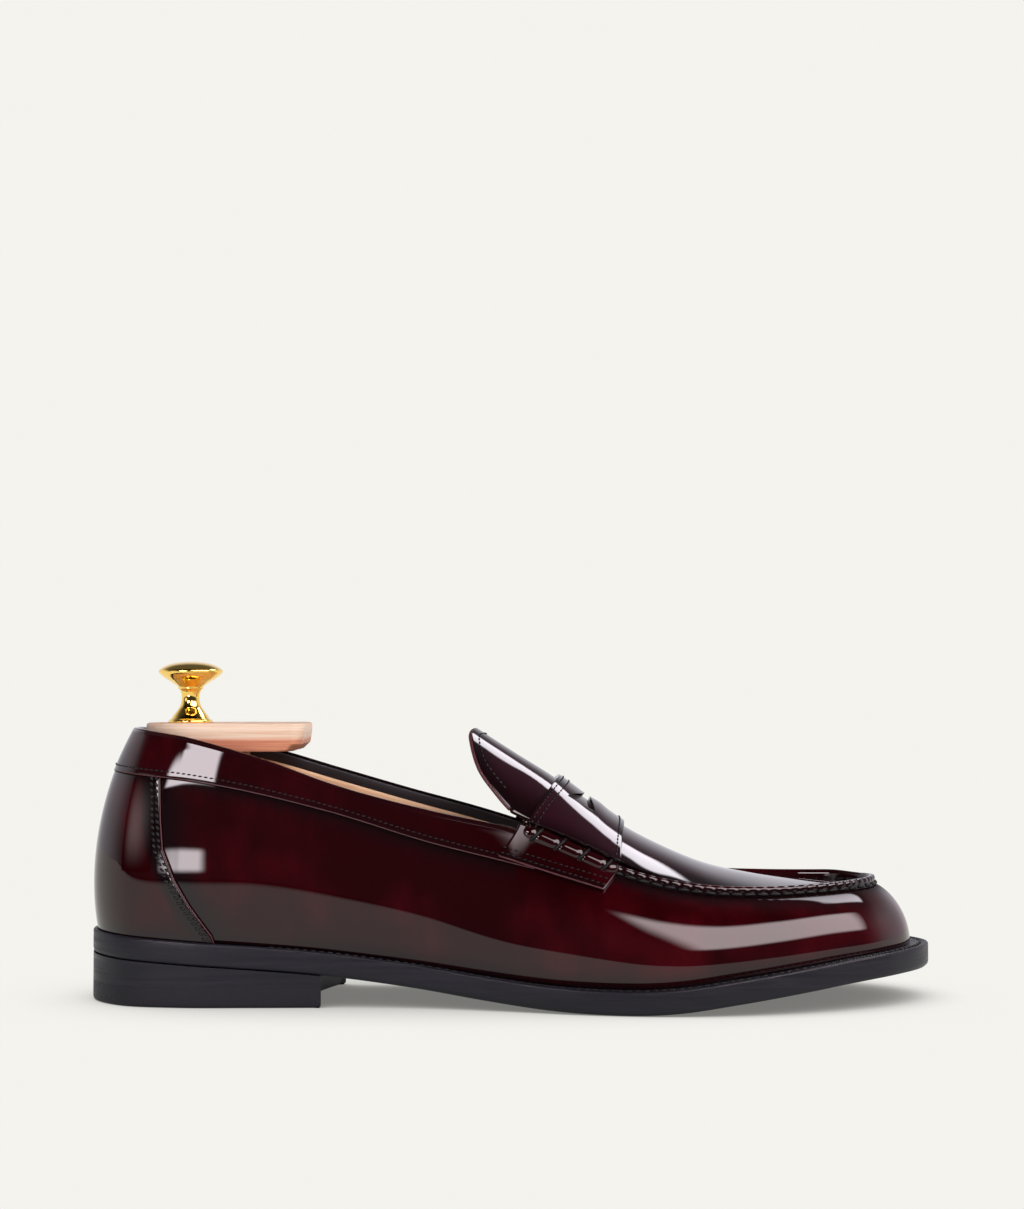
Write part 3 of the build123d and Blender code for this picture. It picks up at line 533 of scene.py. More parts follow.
@once
def burnished_oxblood(name):
    """Glossy brush-off leather: red where rubbed, near-black at seams and with painted shade near the welt,
    with faint upright brush marks.
    """
    f = Finish(name, Coat_Roughness=0.03, Coat_IOR=1.47, Specular_IOR_Level=0.0, Roughness=0.4)
    cloud = f.noise(f.place(), 24, 2.5, 0.5)
    mottle = f.noise(f.place((1, 1, 0.6)), 120, 3, 0.6)
    brush = f.noise(f.place((300, 300, 40)), 1, 3, 0.6)
    rubbed = f.range(cloud + (mottle - 0.5) * 0.22 + (brush - 0.5) * 0.12, 0.44, 0.8)
    worn = rubbed * f.range(f.mark("burnish"), 0.1, 0.9, 1.0, 0.0)
    body = f.mix(f.mark("burnish"), tuple(c * 0.3 for c in hue("oxblood")), hue("burnish"))
    f.set(Base_Color=f.mix(worn, body, hue("oxblood")))
    f.set(Coat_Weight=f.range(f.mark("crease"), 0.2, 1.2, 1.0, 0.7) * (1.0 - f.mark("dull") * 0.9))
    pores = f.noise(f.place(), 1500, 2)
    waves = f.noise(f.place(), 70, 2)
    creases = f.noise(f.place((260, 260, 620), (0.0, 0.7, 0.2)), 1, 3, 0.6)
    f.set(Normal=f.bump(pores * 0.08 + waves * 1.5 + creases * f.mark("crease") * 1.3, 0.00022, 0.6))
    return f.material


@once
def burnished_aubergine(name):
    """The plug's darker, smoother leather."""
    f = Finish(name, Coat_Weight=1.0, Coat_Roughness=0.05, Coat_IOR=1.6, Specular_IOR_Level=0.0,
               Roughness=0.4)
    cloud = f.noise(f.place(), 30, 3)
    # The mark darkens towards near-black: burnish at the edges, painted shade round the strap's slot.
    dark = f.range(f.mark("burnish") + (cloud - 0.5) * 0.9, 0.0, 1.0)
    f.set(Base_Color=f.mix(dark, hue("aubergine"), hue("burnish")))
    f.set(Normal=f.bump(f.noise(f.place(), 80, 2) + f.noise(f.place(), 1500, 2) * 0.1, 0.0002, 0.5))
    return f.material


@once
def tan_lining(name):
    f = Finish(name, Specular_IOR_Level=0.3)
    grain = f.noise(f.place(), 900, 3)
    f.set(Base_Color=f.mix(f.range(f.noise(f.place(), 60, 3) * 0.7 + grain * 0.3, 0.3, 0.7), hue("lining"),
                           tuple(c * 0.8 for c in hue("lining"))))
    f.set(Roughness=0.55, Normal=f.bump(grain, 0.0001, 0.5))
    return f.material


@once
def black_facing(name):
    f = Finish(name, Base_Color=hue("facing"), Coat_Weight=0.3, Coat_Roughness=0.2)
    grain = f.noise(f.place(), 1100, 3)
    f.set(Roughness=f.range(grain, 0.3, 0.7, 0.3, 0.45), Normal=f.bump(grain, 0.0001, 0.4))
    return f.material


@once
def waxed_thread(name):
    f = Finish(name, Coat_Weight=0.08, Coat_Roughness=0.35, Specular_IOR_Level=0.2)
    ply = f.node("ShaderNodeTexWave", {}, {"Vector": f.place((1, 1, 1), (0.5, 0.6, 0.4)), "Scale": 420.0,
                                         "Distortion": 1.0})
    f.set(Base_Color=f.mix(ply, hue("thread"), tuple(c * 1.6 for c in hue("thread"))))
    f.set(Roughness=0.5, Normal=f.bump(ply, 0.00012, 0.7))
    return f.material


@once
def inked_sole(name):
    """Black edge dressing over sanded leather: satin, with long faint rub marks."""
    f = Finish(name, Coat_Roughness=0.2, Specular_IOR_Level=0.22)
    rub = f.noise(f.place((40, 40, 900)), 1, 4, 0.6)
    f.set(Base_Color=f.mix(f.range(rub, 0.35, 0.8), hue("sole"), tuple(c * 1.7 for c in hue("sole"))))
    f.set(Roughness=f.range(rub, 0.3, 0.75, 0.36, 0.58), Coat_Weight=0.06)
    f.set(Normal=f.bump(rub + f.noise(f.place(), 1300, 2) * 0.3, 0.00008, 0.5))
    return f.material


@once
def heel_rubber(name):
    f = Finish(name, Specular_IOR_Level=0.25)
    grit = f.noise(f.place(), 1600, 2)
    f.set(Base_Color=f.mix(grit, hue("sole"), tuple(c * 1.25 for c in hue("sole"))))
    f.set(Roughness=f.range(grit, 0.3, 0.7, 0.5, 0.65), Normal=f.bump(grit, 0.00006, 0.5))
    return f.material


@once
def cedar_wood(name):
    """Sanded cedar with fine level grain: cream sapwood over salmon heartwood."""
    f = Finish(name, Specular_IOR_Level=0.3)
    grain = f.noise(f.place((25, 160, 1500)), 1, 4, 0.65)
    broad = f.noise(f.place((6, 40, 260)), 1, 3)
    height = f.node("ShaderNodeSeparateXYZ", {}, [f.place()], output="Z")
    sap = f.range(height + (broad - 0.5) * 0.002, 0.0908, 0.0926)
    base = f.mix(sap, hue("cedar"), hue("sapwood"))
    line = f.range(grain * 0.6 + broad * 0.4, 0.38, 0.66)
    f.set(Base_Color=f.mix(line, base, f.mix(sap, srgb(164, 98, 72), srgb(190, 156, 128))))
    f.set(Roughness=0.55, Normal=f.bump(grain, 0.00008, 0.5))
    return f.material


@once
def polished_brass(name):
    f = Finish(name, Base_Color=hue("brass"), Metallic=1.0)
    f.set(Roughness=f.range(f.noise(f.place(), 220, 3), 0.3, 0.8, 0.06, 0.14))
    return f.material


@once
def plain_steel(name):
    f = Finish(name, Base_Color=srgb(190, 190, 194), Metallic=1.0)
    drawn = f.noise(f.place((60, 900, 900)), 1, 3)
    f.set(Roughness=f.range(drawn, 0.3, 0.8, 0.22, 0.4))
    return f.material


@once
def sheet_board(name):
    f = Finish(name)
    fibre = f.noise(f.place((500, 900, 900)), 1, 3)
    f.set(Base_Color=f.mix(fibre, srgb(150, 118, 84), srgb(182, 148, 108)), Roughness=0.8)
    return f.material


@once
def cork_granules(name):
    f = Finish(name)
    cells = f.node("ShaderNodeTexVoronoi", {}, {"Vector": f.place(), "Scale": 700.0}, output="Color")
    tone = f.node("ShaderNodeSeparateColor", {}, [cells])
    f.set(Base_Color=f.mix(tone, srgb(120, 84, 50), srgb(178, 132, 84)), Roughness=0.85)
    return f.material


@once
def raw_leather_edge(name):
    """Undyed cut edge of the leather, where a piece ends on top of another."""
    f = Finish(name, Roughness=0.5)
    fibre = f.noise(f.place(), 900, 3)
    f.set(Base_Color=f.mix(fibre, srgb(40, 14, 18), srgb(88, 34, 40)), Normal=f.bump(fibre, 0.0001, 0.6))
    return f.material


FINISHES = {
    "oxblood_leather": burnished_oxblood, "aubergine_leather": burnished_aubergine,
    "black_thread": waxed_thread, "tan_lining": tan_lining, "black_facing": black_facing, "stiff_board": sheet_board, "cork": cork_granules,
    "black_sole": inked_sole, "black_rubber": heel_rubber, "steel": plain_steel, "spring_steel": plain_steel,
    "cedar": cedar_wood, "dowel_wood": cedar_wood, "brass": polished_brass,
}


# ---- leather on the side wall ----
def wall_length(rows):
    """Length in mm of the wall from welt to top edge at some rows."""
    line = wall(np.asarray(rows, float)[:, None], np.linspace(0, 1, 24))
    return np.linalg.norm(np.diff(line, axis=1), axis=2).sum(1)


def near(distance, reach):
    return np.exp(-(distance / reach)**2)


def seam_x(z):
    return np.interp(z, HEEL_SEAM[:, 0], value_at(HEEL_SEAM, HEEL_SEAM[:, 0]))


def seam_rows(shares, start, end, back=0.0):
    """Rows where the heel cover's front edge crosses, at shares of the way up to the collar band."""
    low, high = np.full(len(shares), float(start)), np.full(len(shares), float(end))
    for _ in range(22):
        middle = (low + high) / 2
        point = wall(middle, shares * band_foot(middle))
        ahead = point[:, 0] > seam_x(point[:, 2]) - back
        low, high = np.where(ahead, low, middle), np.where(ahead, middle, high)
    return low


def on_wall(x, z, start):
    """(row, height) whose outer face is at some x and z in side view, near a row."""
    x, z = np.broadcast_arrays(np.asarray(x, float), np.asarray(z, float))
    row = np.full(x.shape, float(start))
    for _ in range(14):
        here = wall(row, np.clip(height_at_z(row, z), 0, 1))[..., 0]
        ahead = wall(row + 0.05, np.clip(height_at_z(row + 0.05, z), 0, 1))[..., 0]
        row = row + np.clip((x - here) * 0.05 / (ahead - here), -0.6, 0.6)
    return row, np.clip(height_at_z(row, z), 0, 1)


def vamp_marks(points, up, down):
    """Burnish, painted shade and crease of the wall: dark at the welt (burnish with painted shade), the apron
    seam, the band and the heel seam.
    """
    x, z = points[..., 0], points[..., 2]
    seam = near(np.maximum(x - seam_x(z), 0), 9) * (x < 120)
    band = near(np.maximum(value_at(BAND_FOOT, np.clip(x, 0, 150)) - z, 0), 4) * (x < 150)
    # Near the welt the darkening is burnish with painted shade, where the upper meets the welt; the rest is
    # burnish.
    burnish = np.maximum.reduce([0.75 * near(up, 5), 0.95 * near(down, 6), 0.95 * seam, 0.8 * band])
    crease = near(x - 168, 22) * near(z - 36, 9)
    return {"burnish": burnish, "crease": crease, "dull": near(down, 5.5)}


class PieceOperator(bpy.types.Operator):
    """Builds one group of the loafer's pieces"""
    bl_options = {"REGISTER", "UNDO"}

    def execute(self, context):
        self.build()
        return {"FINISHED"}


class LOAFER_OT_vamp(PieceOperator):
    """Side wall of the upper with the rolled rim of its apron seam"""
    bl_idname = "loafer.vamp"
    bl_label = "Vamp and rim"

    def build(self):
        rows = rows_spaced(-13.6, 12.6, 0.9)
        heights = np.concatenate([np.linspace(0, 0.9, 44), np.linspace(0.91, 1, 12)])
        length = wall_length(rows)[:, None]
        up, down = heights * length, (1 - heights) * length
        pleats = (self.pleats(rows) * smooth_step((rows_from_toe(rows) - 3.2) / 2))[:, None] * near(down, 5.5)
        points = wall(rows[:, None], heights, depths=0.12 * pleats)
        vamp = grid_piece("Vamp", points, marks=vamp_marks(points, up, down), outward=(1, 0, 0.3))
        settle(thicken(vamp, LEATHER, 0), "oxblood_leather", "vamp_wall")
        self.linings()
        self.rim()

    def pleats(self, rows):
        """Small gathers below the apron stitches, one to each."""
        edge = wall_rows(rows)[0]
        run = np.concatenate([[0], np.cumsum(np.linalg.norm(np.diff(edge, axis=0), axis=1))])
        return (0.5 - 0.5 * np.cos(2 * math.pi * run / size("apron_pitch"))) * ridge_height(rows) / RIM

    def linings(self):
        rows = rows_spaced(-7.8, 7.8, 1.6)
        puff = rows_spaced(-4.2, 4.2, 1.6)
        for name, at, depth, thick, slot, node in (
                ("Toe puff", puff, LEATHER + 0.1, 0.7, "stiff_board", "toe_puff"),
                ("Vamp lining", rows, LEATHER + 0.9, 0.8, "tan_lining", "vamp_lining")):
            points = wall(at[:, None], np.linspace(0, 0.8, 30), depth)
            sheet = grid_piece(name, points, outward=(1, 0, 0.3))
            settle(thicken(sheet, thick, 0), slot, node)

    def rim(self):
        rows = rows_spaced(-8.25, 8.25, 0.55)
        share = np.maximum(ridge_height(rows) / RIM, 0.02)
        scallop = 0.22 * np.cos(2 * math.pi * np.arange(len(rows)) * 0.55 / size("apron_pitch"))
        outline = np.array([(0.5, -0.9), (0.45, -0.2), (0.2, 0.5), (0.2, 1.3), (0.15, 2.2), (-0.1, 2.8),
                            (-0.6, 3.15), (-1.2, 3.2), (-1.8, 3.05), (-2.25, 2.6), (-2.4, 1.9), (-2.45, 1.0),
                            (-2.45, -0.6), (-2.3, -2.0), (-0.6, -1.6)])
        bulge = np.interp(outline[:, 1], (0, 1.2, 2.6, 3.2), (0, 0, 1, 0.4)) * (outline[:, 0] > -1)
        medial = smooth_step((rows + 7.6) / 1.2) * smooth_step((-1.2 - rows) / 1.5)
        ups = outline[:, 1] * (share + 0.4 * medial)[:, None]
        points = rim_points(rows, outline[:, 0] + scallop[:, None] * bulge, ups)
        dark = np.interp(np.arange(len(outline)), (0, 3, 5, 7, 9, 14), (1.0, 0.9, 0.35, -0.2, 0.3, 0.8))
        rim = grid_piece("Apron rim", points, wrap=True, marks={"burnish": dark, "crease": 0.3})
        settle(rim, "oxblood_leather", "apron_thread")


def rim_points(rows, outs, ups):
    """Points beside the wall's top edge: so far outward and up from it, in mm."""
    rows, outs, ups = np.broadcast_arrays(np.asarray(rows, float)[:, None], outs, ups)
    base = wall(rows, 1.0)
    out = wall_rows(rows)[1]
    return base + np.concatenate([out * outs[..., None], ups[..., None]], -1)


class LOAFER_OT_quarters(PieceOperator):
    """Heel cover, collar band and the saddle's two side tabs"""
    bl_idname = "loafer.quarters"
    bl_label = "Heel cover, band and tabs"

    def build(self):
        self.cover()
        self.band()
        for side, start, sign in (("lateral", 7.5, -1), ("medial", 23.5, 1)):
            self.tab(side, start, sign)

    def cover(self):
        shares = np.linspace(0.0, 1, 60)
        first, last = seam_rows(shares, 15, 10.2), seam_rows(shares, 15, 19.8)
        across = np.concatenate([np.linspace(0, 0.04, 8), np.linspace(0.05, 0.95, 110),
                                 np.linspace(0.96, 1, 8)])
        rows = first[None, :] + (last - first)[None, :] * across[:, None]
        heights = shares * band_foot(rows)
        lift = OVERLAY * np.minimum(1, np.minimum(across, 1 - across) * 300 + 0.75)[:, None]
        points = wall(rows, heights, depths=-lift)
        length = np.linalg.norm(np.diff(points, axis=0), axis=-1).sum(0)[None, :]
        in_from_edge = np.minimum(across, 1 - across)[:, None] * length
        front = near(np.maximum(in_from_edge - 3.4, 0), 2)
        # Near the welt the darkening is burnish with painted shade; at the front edge and at the top it is
        # burnish.
        burnish = np.maximum(np.maximum(0.9 * near(heights * 70, 5), front), 0.8 * near((1 - shares) * 60, 3))
        cover = grid_piece("Heel cover", points, marks={"burnish": burnish}, outward=(-1, 0, 0))
        settle(thicken(cover, OVERLAY - 0.05, 0), "oxblood_leather", "heel_counter_cover")
        for side, x in (("lateral", first), ("medial", last)):
            line = wall(x, shares * band_foot(x), depths=-OVERLAY * 0.85)
            self.cut_edge(f"Heel cover edge {side}", line, 0.24)

    def cut_edge(self, name, line, radius):
        settle(tube(name, [line], radius, 6), "oxblood_leather", finish=raw_leather_edge)

    def band(self):
        rows = rows_spaced(*COLLAR_ROWS, 1.0)
        foot = band_foot(rows)[:, None]
        flat = np.linspace(0.03, 1, 16)
        turn = np.linspace(0, math.pi, 10)
        heights = np.concatenate([foot, foot, foot, foot + (1 - foot) * flat, np.ones((len(rows), 11))], 1)
        lean = 0.35 * (1 - flat)**1.5
        depths = np.concatenate([(-0.05, -1.3, -1.5), -1.2 - lean, 0.1 - 1.3 * np.cos(turn), (1.4,)])
        lifts = np.concatenate([(0, 0, 0.22), -1.3 * smooth_step((flat - 0.6) / 0.4),
                                -1.3 + 1.3 * np.sin(turn), (-4,)])
        points = wall(rows[:, None], heights, depths, lifts)
        edges = 0.55 * near(flat * 16, 3) + 0.25 * near((1 - flat) * 16, 3)
        burnish = np.concatenate([(1, 1, 1), edges, np.full(11, 0.3)])
        band = grid_piece("Collar band", points, wrap=True, marks={"burnish": burnish})
        settle(band, "oxblood_leather", "collar_band")
        self.cut_edge("Collar band edge", wall(rows, foot[:, 0], -1.35, 0.1), 0.2)

    def tab(self, side, start, sign):
        share = np.linspace(0, 1, 46)
        low_rows, low_heights = on_wall(144.9 + 35.7 * share, 51.5 - 11.1 * share, start)
        top_rows = on_wall(151.8 + 34.2 * share, 200, start)[0]
        v = np.linspace(0, 1, 24)
        rows = low_rows[:, None] * (1 - v) + top_rows[:, None] * v
        heights = low_heights[:, None] * (1 - v) + v
        x = wall(rows, heights)[..., 0]
        behind = smooth_step((156 - x) / 9)
        points = wall(rows, heights, depths=-1.8 - 0.3 * behind, lifts=2.5 * v**4)
        burnish = np.maximum(0.8 * near(v * 12, 2.5), 0.9 * near((1 - v) * 12, 3))
        tab = grid_piece(f"Side tab {side}", points, marks={"burnish": burnish}, outward=(0, sign, 0.4))
        settle(thicken(tab, 1.75, 0.25), "oxblood_leather", f"side_tab_{side}")
        self.cut_edge(f"Tab edge {side}", points[:, 0], 0.3)


def closed(points):
    """Rows round a loop, with the first once more at the end."""
    return np.concatenate([points, points[:1]])


def closed_disc(name, loop, spine, columns, height, marks=None):
    """A sheet inside a closed plan loop, in rings from its spine to its edge."""
    spine = np.column_stack([np.round(spine[:, 0] / 2) * 2, spine[:, 1]])
    shares = np.linspace(0, 1, columns)**0.85
    plan = spine[:, None] + (loop - spine)[:, None] * shares[None, :, None]
    plan = closed(plan)
    points = height(plan[..., 0], plan[..., 1])
    inside = np.linalg.norm(closed(loop)[:, None] - plan, axis=-1)
    piece = grid_piece(name, points, marks=marks(plan, inside) if marks else None, outward=(0, 0, 1))
    mesh = bmesh.new()
    mesh.from_mesh(piece.data)
    bmesh.ops.remove_doubles(mesh, verts=mesh.verts, dist=2e-5)
    bmesh.ops.dissolve_degenerate(mesh, dist=1e-5, edges=mesh.edges)
    bmesh.ops.recalc_face_normals(mesh, faces=mesh.faces)
    if sum(f.normal.z * f.calc_area() for f in mesh.faces) < 0:
        bmesh.ops.reverse_faces(mesh, faces=mesh.faces)
    mesh.to_mesh(piece.data)
    mesh.free()
    return piece


def through(points, count):
    """A smooth line through plan points, at evenly spaced places."""
    points = np.asarray(points, float)
    run = np.concatenate([[0], np.cumsum(np.linalg.norm(np.diff(points, axis=0), axis=1))])
    fine = curve_through(np.column_stack([run, points]), np.linspace(0, run[-1], count * 4))
    run = np.concatenate([[0], np.cumsum(np.linalg.norm(np.diff(fine, axis=0), axis=1))])
    even = np.linspace(0, run[-1], count)
    return np.column_stack([np.interp(even, run, column) for column in fine.T])


def apron_loop(inside):
    """Plan loop of the plug and tongue, inside the wall's top edge, and how many points are the tongue's."""
    rows = rows_spaced(-8.1, 8.1, 1.0)
    seam = seam_plan(rows, inside)
    tongue = through(np.concatenate([seam[-2:-1], TONGUE_EDGE[1:-1], seam[1:2]]), 110)[2:-2]
    return np.concatenate([seam, tongue]), len(seam)


STRAP_REAR = np.array([(151, -32), (160, -20), (165, 0), (160, 20), (151, 32)])
STRAP_FRONT = np.array([(185.5, -36), (188, 0), (185.5, 36)])
SLOT_REAR = np.array([(168, -16), (172.6, -8), (174, 0), (172.6, 8), (168, 16)])
SLOT_FRONT = np.array([(177, -16), (175.8, 0), (177, 16)])
STRAP = PLUG = 1.8


def edge_line(table, y):
    """x of an edge of the strap at some y."""
    return value_at(table[:, ::-1], y)


def half_width(x, sign, inside=0.0):
    """y of the wall's top edge at some x."""
    rows = np.linspace(5.5, 9.5, 80) if sign < 0 else np.linspace(21.5, 25.5, 80)
    seam = seam_plan(rows, inside)
    order = np.argsort(seam[:, 0])
    return np.interp(x, seam[order, 0], seam[order, 1])


class LOAFER_OT_apron(PieceOperator):
    """Plug with its tongue, the saddle strap with its slot, and the beef rolls"""
    bl_idname = "loafer.apron"
    bl_label = "Plug, strap and rolls"

    def build(self):
        loop, seam = apron_loop(1.7)
        spine = np.column_stack([np.clip(loop[:, 0], 150, 256), np.zeros(len(loop))])

        def marks(plan, inside):
            return {"burnish": 0.15 + 0.8 * near(inside, 6)}

        plug = closed_disc("Plug and tongue", loop, spine, 34, self.surface, marks)
        settle(thicken(plug, PLUG, 0.35, even=False), "aubergine_leather", "plug_and_tongue")
        bead = tube("Tongue edge", [apron(*loop[seam:].T, rise=-PLUG / 2)], 0.78, 8)
        settle(bead, "aubergine_leather", finish=raw_leather_edge)
        self.lining()
        self.strap()
        for side, sign in (("lateral", -1), ("medial", 1)):
            self.roll(side, sign)

    def surface(self, x, y):
        """The plug, pressed in a little where the strap's slot shows it."""
        slot = smooth_step((x - 166) / 3) * smooth_step((180 - x) / 3) * smooth_step((19 - np.abs(y)) / 5)
        return apron(x, y, 0.4 * slot)

    def lining(self):
        loop, seam = apron_loop(5.0)
        spine = np.column_stack([np.clip(loop[:, 0], 152, 250), np.zeros(len(loop))])
        reach = spine - loop
        loop = loop + 4.0 * reach / np.linalg.norm(reach, axis=1, keepdims=True)
        sheet = closed_disc("Plug lining", loop, spine, 24, lambda x, y: apron(x, y, -3.0))
        settle(thicken(sheet, 0.8, 0, even=False), "tan_lining", "plug_lining")

    def strap(self):
        count = 90
        y = np.linspace(-1, 1, count)
        reach = {sign: abs(half_width(np.array([151, 185.5]), sign, 0.2)) for sign in (-1, 1)}

        def side_of(table, end):
            spread = np.where(y < 0, reach[-1][end], reach[1][end]) * y
            return np.column_stack([edge_line(table, np.clip(spread, -36, 36)), spread])

        outer = self.ring(side_of(STRAP_REAR, 0), side_of(STRAP_FRONT, 1))
        slot = 16 * np.sin(y * math.pi / 2)
        inner = self.ring(np.column_stack([edge_line(SLOT_REAR, slot), slot]),
                          np.column_stack([edge_line(SLOT_FRONT, slot), slot]))
        shares = np.linspace(0, 1, 22)
        plan = inner[:, None] * (1 - shares[None, :, None]) + outer[:, None] * shares[None, :, None]
        x, across = plan[..., 0], plan[..., 1]
        lip = near(x - 179, 2.6) * near(across, 11)
        points = apron(x, across, STRAP + 0.05 + 0.4 * lip)
        from_edge = np.linalg.norm(plan - outer[:, None], axis=-1)
        from_slot = np.linalg.norm(plan - inner[:, None], axis=-1)
        # Painted shade: the strap darkens round the inner edge of its slot, where the recess is shaded; the
        # darkening at its outer edge is burnish.
        burnish = np.maximum(0.75 * near(from_edge, 3), 0.7 * near(from_slot, 2))
        strap = grid_piece("Saddle strap", closed(points), marks={"burnish": closed(burnish)},
                           outward=(0, 0, 1))
        weld(strap, turn_out=False)
        settle(thicken(strap, STRAP - 0.05, 0.25, 2, even=False), "aubergine_leather", "saddle_strap")

    def ring(self, rear, front):
        """Closed loop: rear edge, its end, the front edge back, and the other end."""
        ends = np.linspace(0, 1, 14)[1:-1, None]
        return np.concatenate([rear, rear[-1] + (front[-1] - rear[-1]) * ends, front[::-1],
                               front[0] + (rear[0] - front[0]) * ends])

    def roll(self, side, sign):
        places = np.linspace(0, 1, 90)
        rear, front = roll_end(0, sign), roll_end(1, sign)
        axis = (front - rear) / np.linalg.norm(front - rear)
        out = np.cross(axis, (0, 0, 1.0))
        out = out / np.linalg.norm(out) * (1 if out[1] * sign > 0 else -1)
        up = np.cross(out, axis)
        up = up * (1 if up[2] > 0 else -1)
        from_loops = places[:, None] - np.array(LOOPS)
        pinch = 1 - 0.13 * near(from_loops, 0.028).sum(1)
        ends = np.sqrt(np.clip(1 - np.abs(2 * places - 1)**14, 0.02, 1))
        radius = pinch * ends
        angle = np.linspace(0, 2 * math.pi, 28, endpoint=False)
        centre = rear + (front - rear) * places[:, None]
        section = 3.2 * np.cos(angle)[:, None] * out + 3.3 * np.sin(angle)[:, None] * up
        points = centre[:, None] + radius[:, None, None] * section[None]
        burnish = 0.75 * near(from_loops, 0.03).max(1)[:, None] - 0.1
        roll = grid_piece(f"Beef roll {side}", points, wrap=True, marks={"burnish": burnish, "crease": 0.15})
        settle(roll, "oxblood_leather", f"beef_roll_{side}")
        threads = []
        for place in LOOPS:
            turn = np.linspace(-0.75 * math.pi, 0.75 * math.pi, 26)
            slant = 1.4 * np.sin(turn)
            threads.append(rear + (front - rear) * place + axis * slant[:, None]
                           + 0.93 * (3.35 * np.cos(turn)[:, None] * out + 3.45 * np.sin(turn)[:, None] * up))
        low = []
        for a, b in zip(LOOPS, LOOPS[1:]):
            t = np.linspace(a, b, 12)
            sag = np.sin((t - a) / (b - a) * math.pi) * 0.7
            low.append(rear + (front - rear) * t[:, None] + 2.2 * out - 1.2 * axis
                       - (2.7 + sag)[:, None] * up)
        stitches = tube(f"Roll thread {side}", threads + low, 0.62, 8)
        settle(stitches, "black_thread", "roll_stitches")


LOOPS = (0.14, 0.38, 0.62, 0.86)


def roll_end(place, sign):
    x = 152.5 + 33 * place
    return np.array([x, half_width(x, sign, 0.4), 60.6 - 14.4 * place])


class LOAFER_OT_linings(PieceOperator):
    """Black facing and tan lining inside the opening"""
    bl_idname = "loafer.linings"
    bl_label = "Facing and lining"

    def build(self):
        rows = rows_spaced(*COLLAR_ROWS, 1.2)
        turn = np.linspace(0, math.pi, 7)
        depths = np.concatenate([(1.45, 1.45), 1.93 - 0.48 * np.cos(turn), (2.42, 2.42, 2.3, 1.45)])
        lifts = np.concatenate([(-4.0, -1.3), -1.2 + 0.48 * np.sin(turn), (-2.2, -4.3, -4.5, -4.5)])
        facing = grid_piece("Collar facing", wall(rows[:, None], 1.0, depths, lifts), wrap=True)
        settle(facing, "black_facing", "collar_facing")
        length = wall_length(rows)[:, None]
        points = wall(rows[:, None], (1 - 4.3 / length) * np.linspace(0, 1, 40)[None, :], 2.3)
        lining = grid_piece("Quarter lining", points, outward=(1, 0, 0))
        settle(thicken(lining, 0.8, 0), "tan_lining", "quarter_lining")


def outline(inset, spacing=1.0):
    """Closed plan loop of the sole's edge, moved in, and its directions out."""
    rows = rows_spaced(0, ROWS, spacing)[:-1]
    edge, out, values = wall_rows(rows)
    return edge - out * inset, out


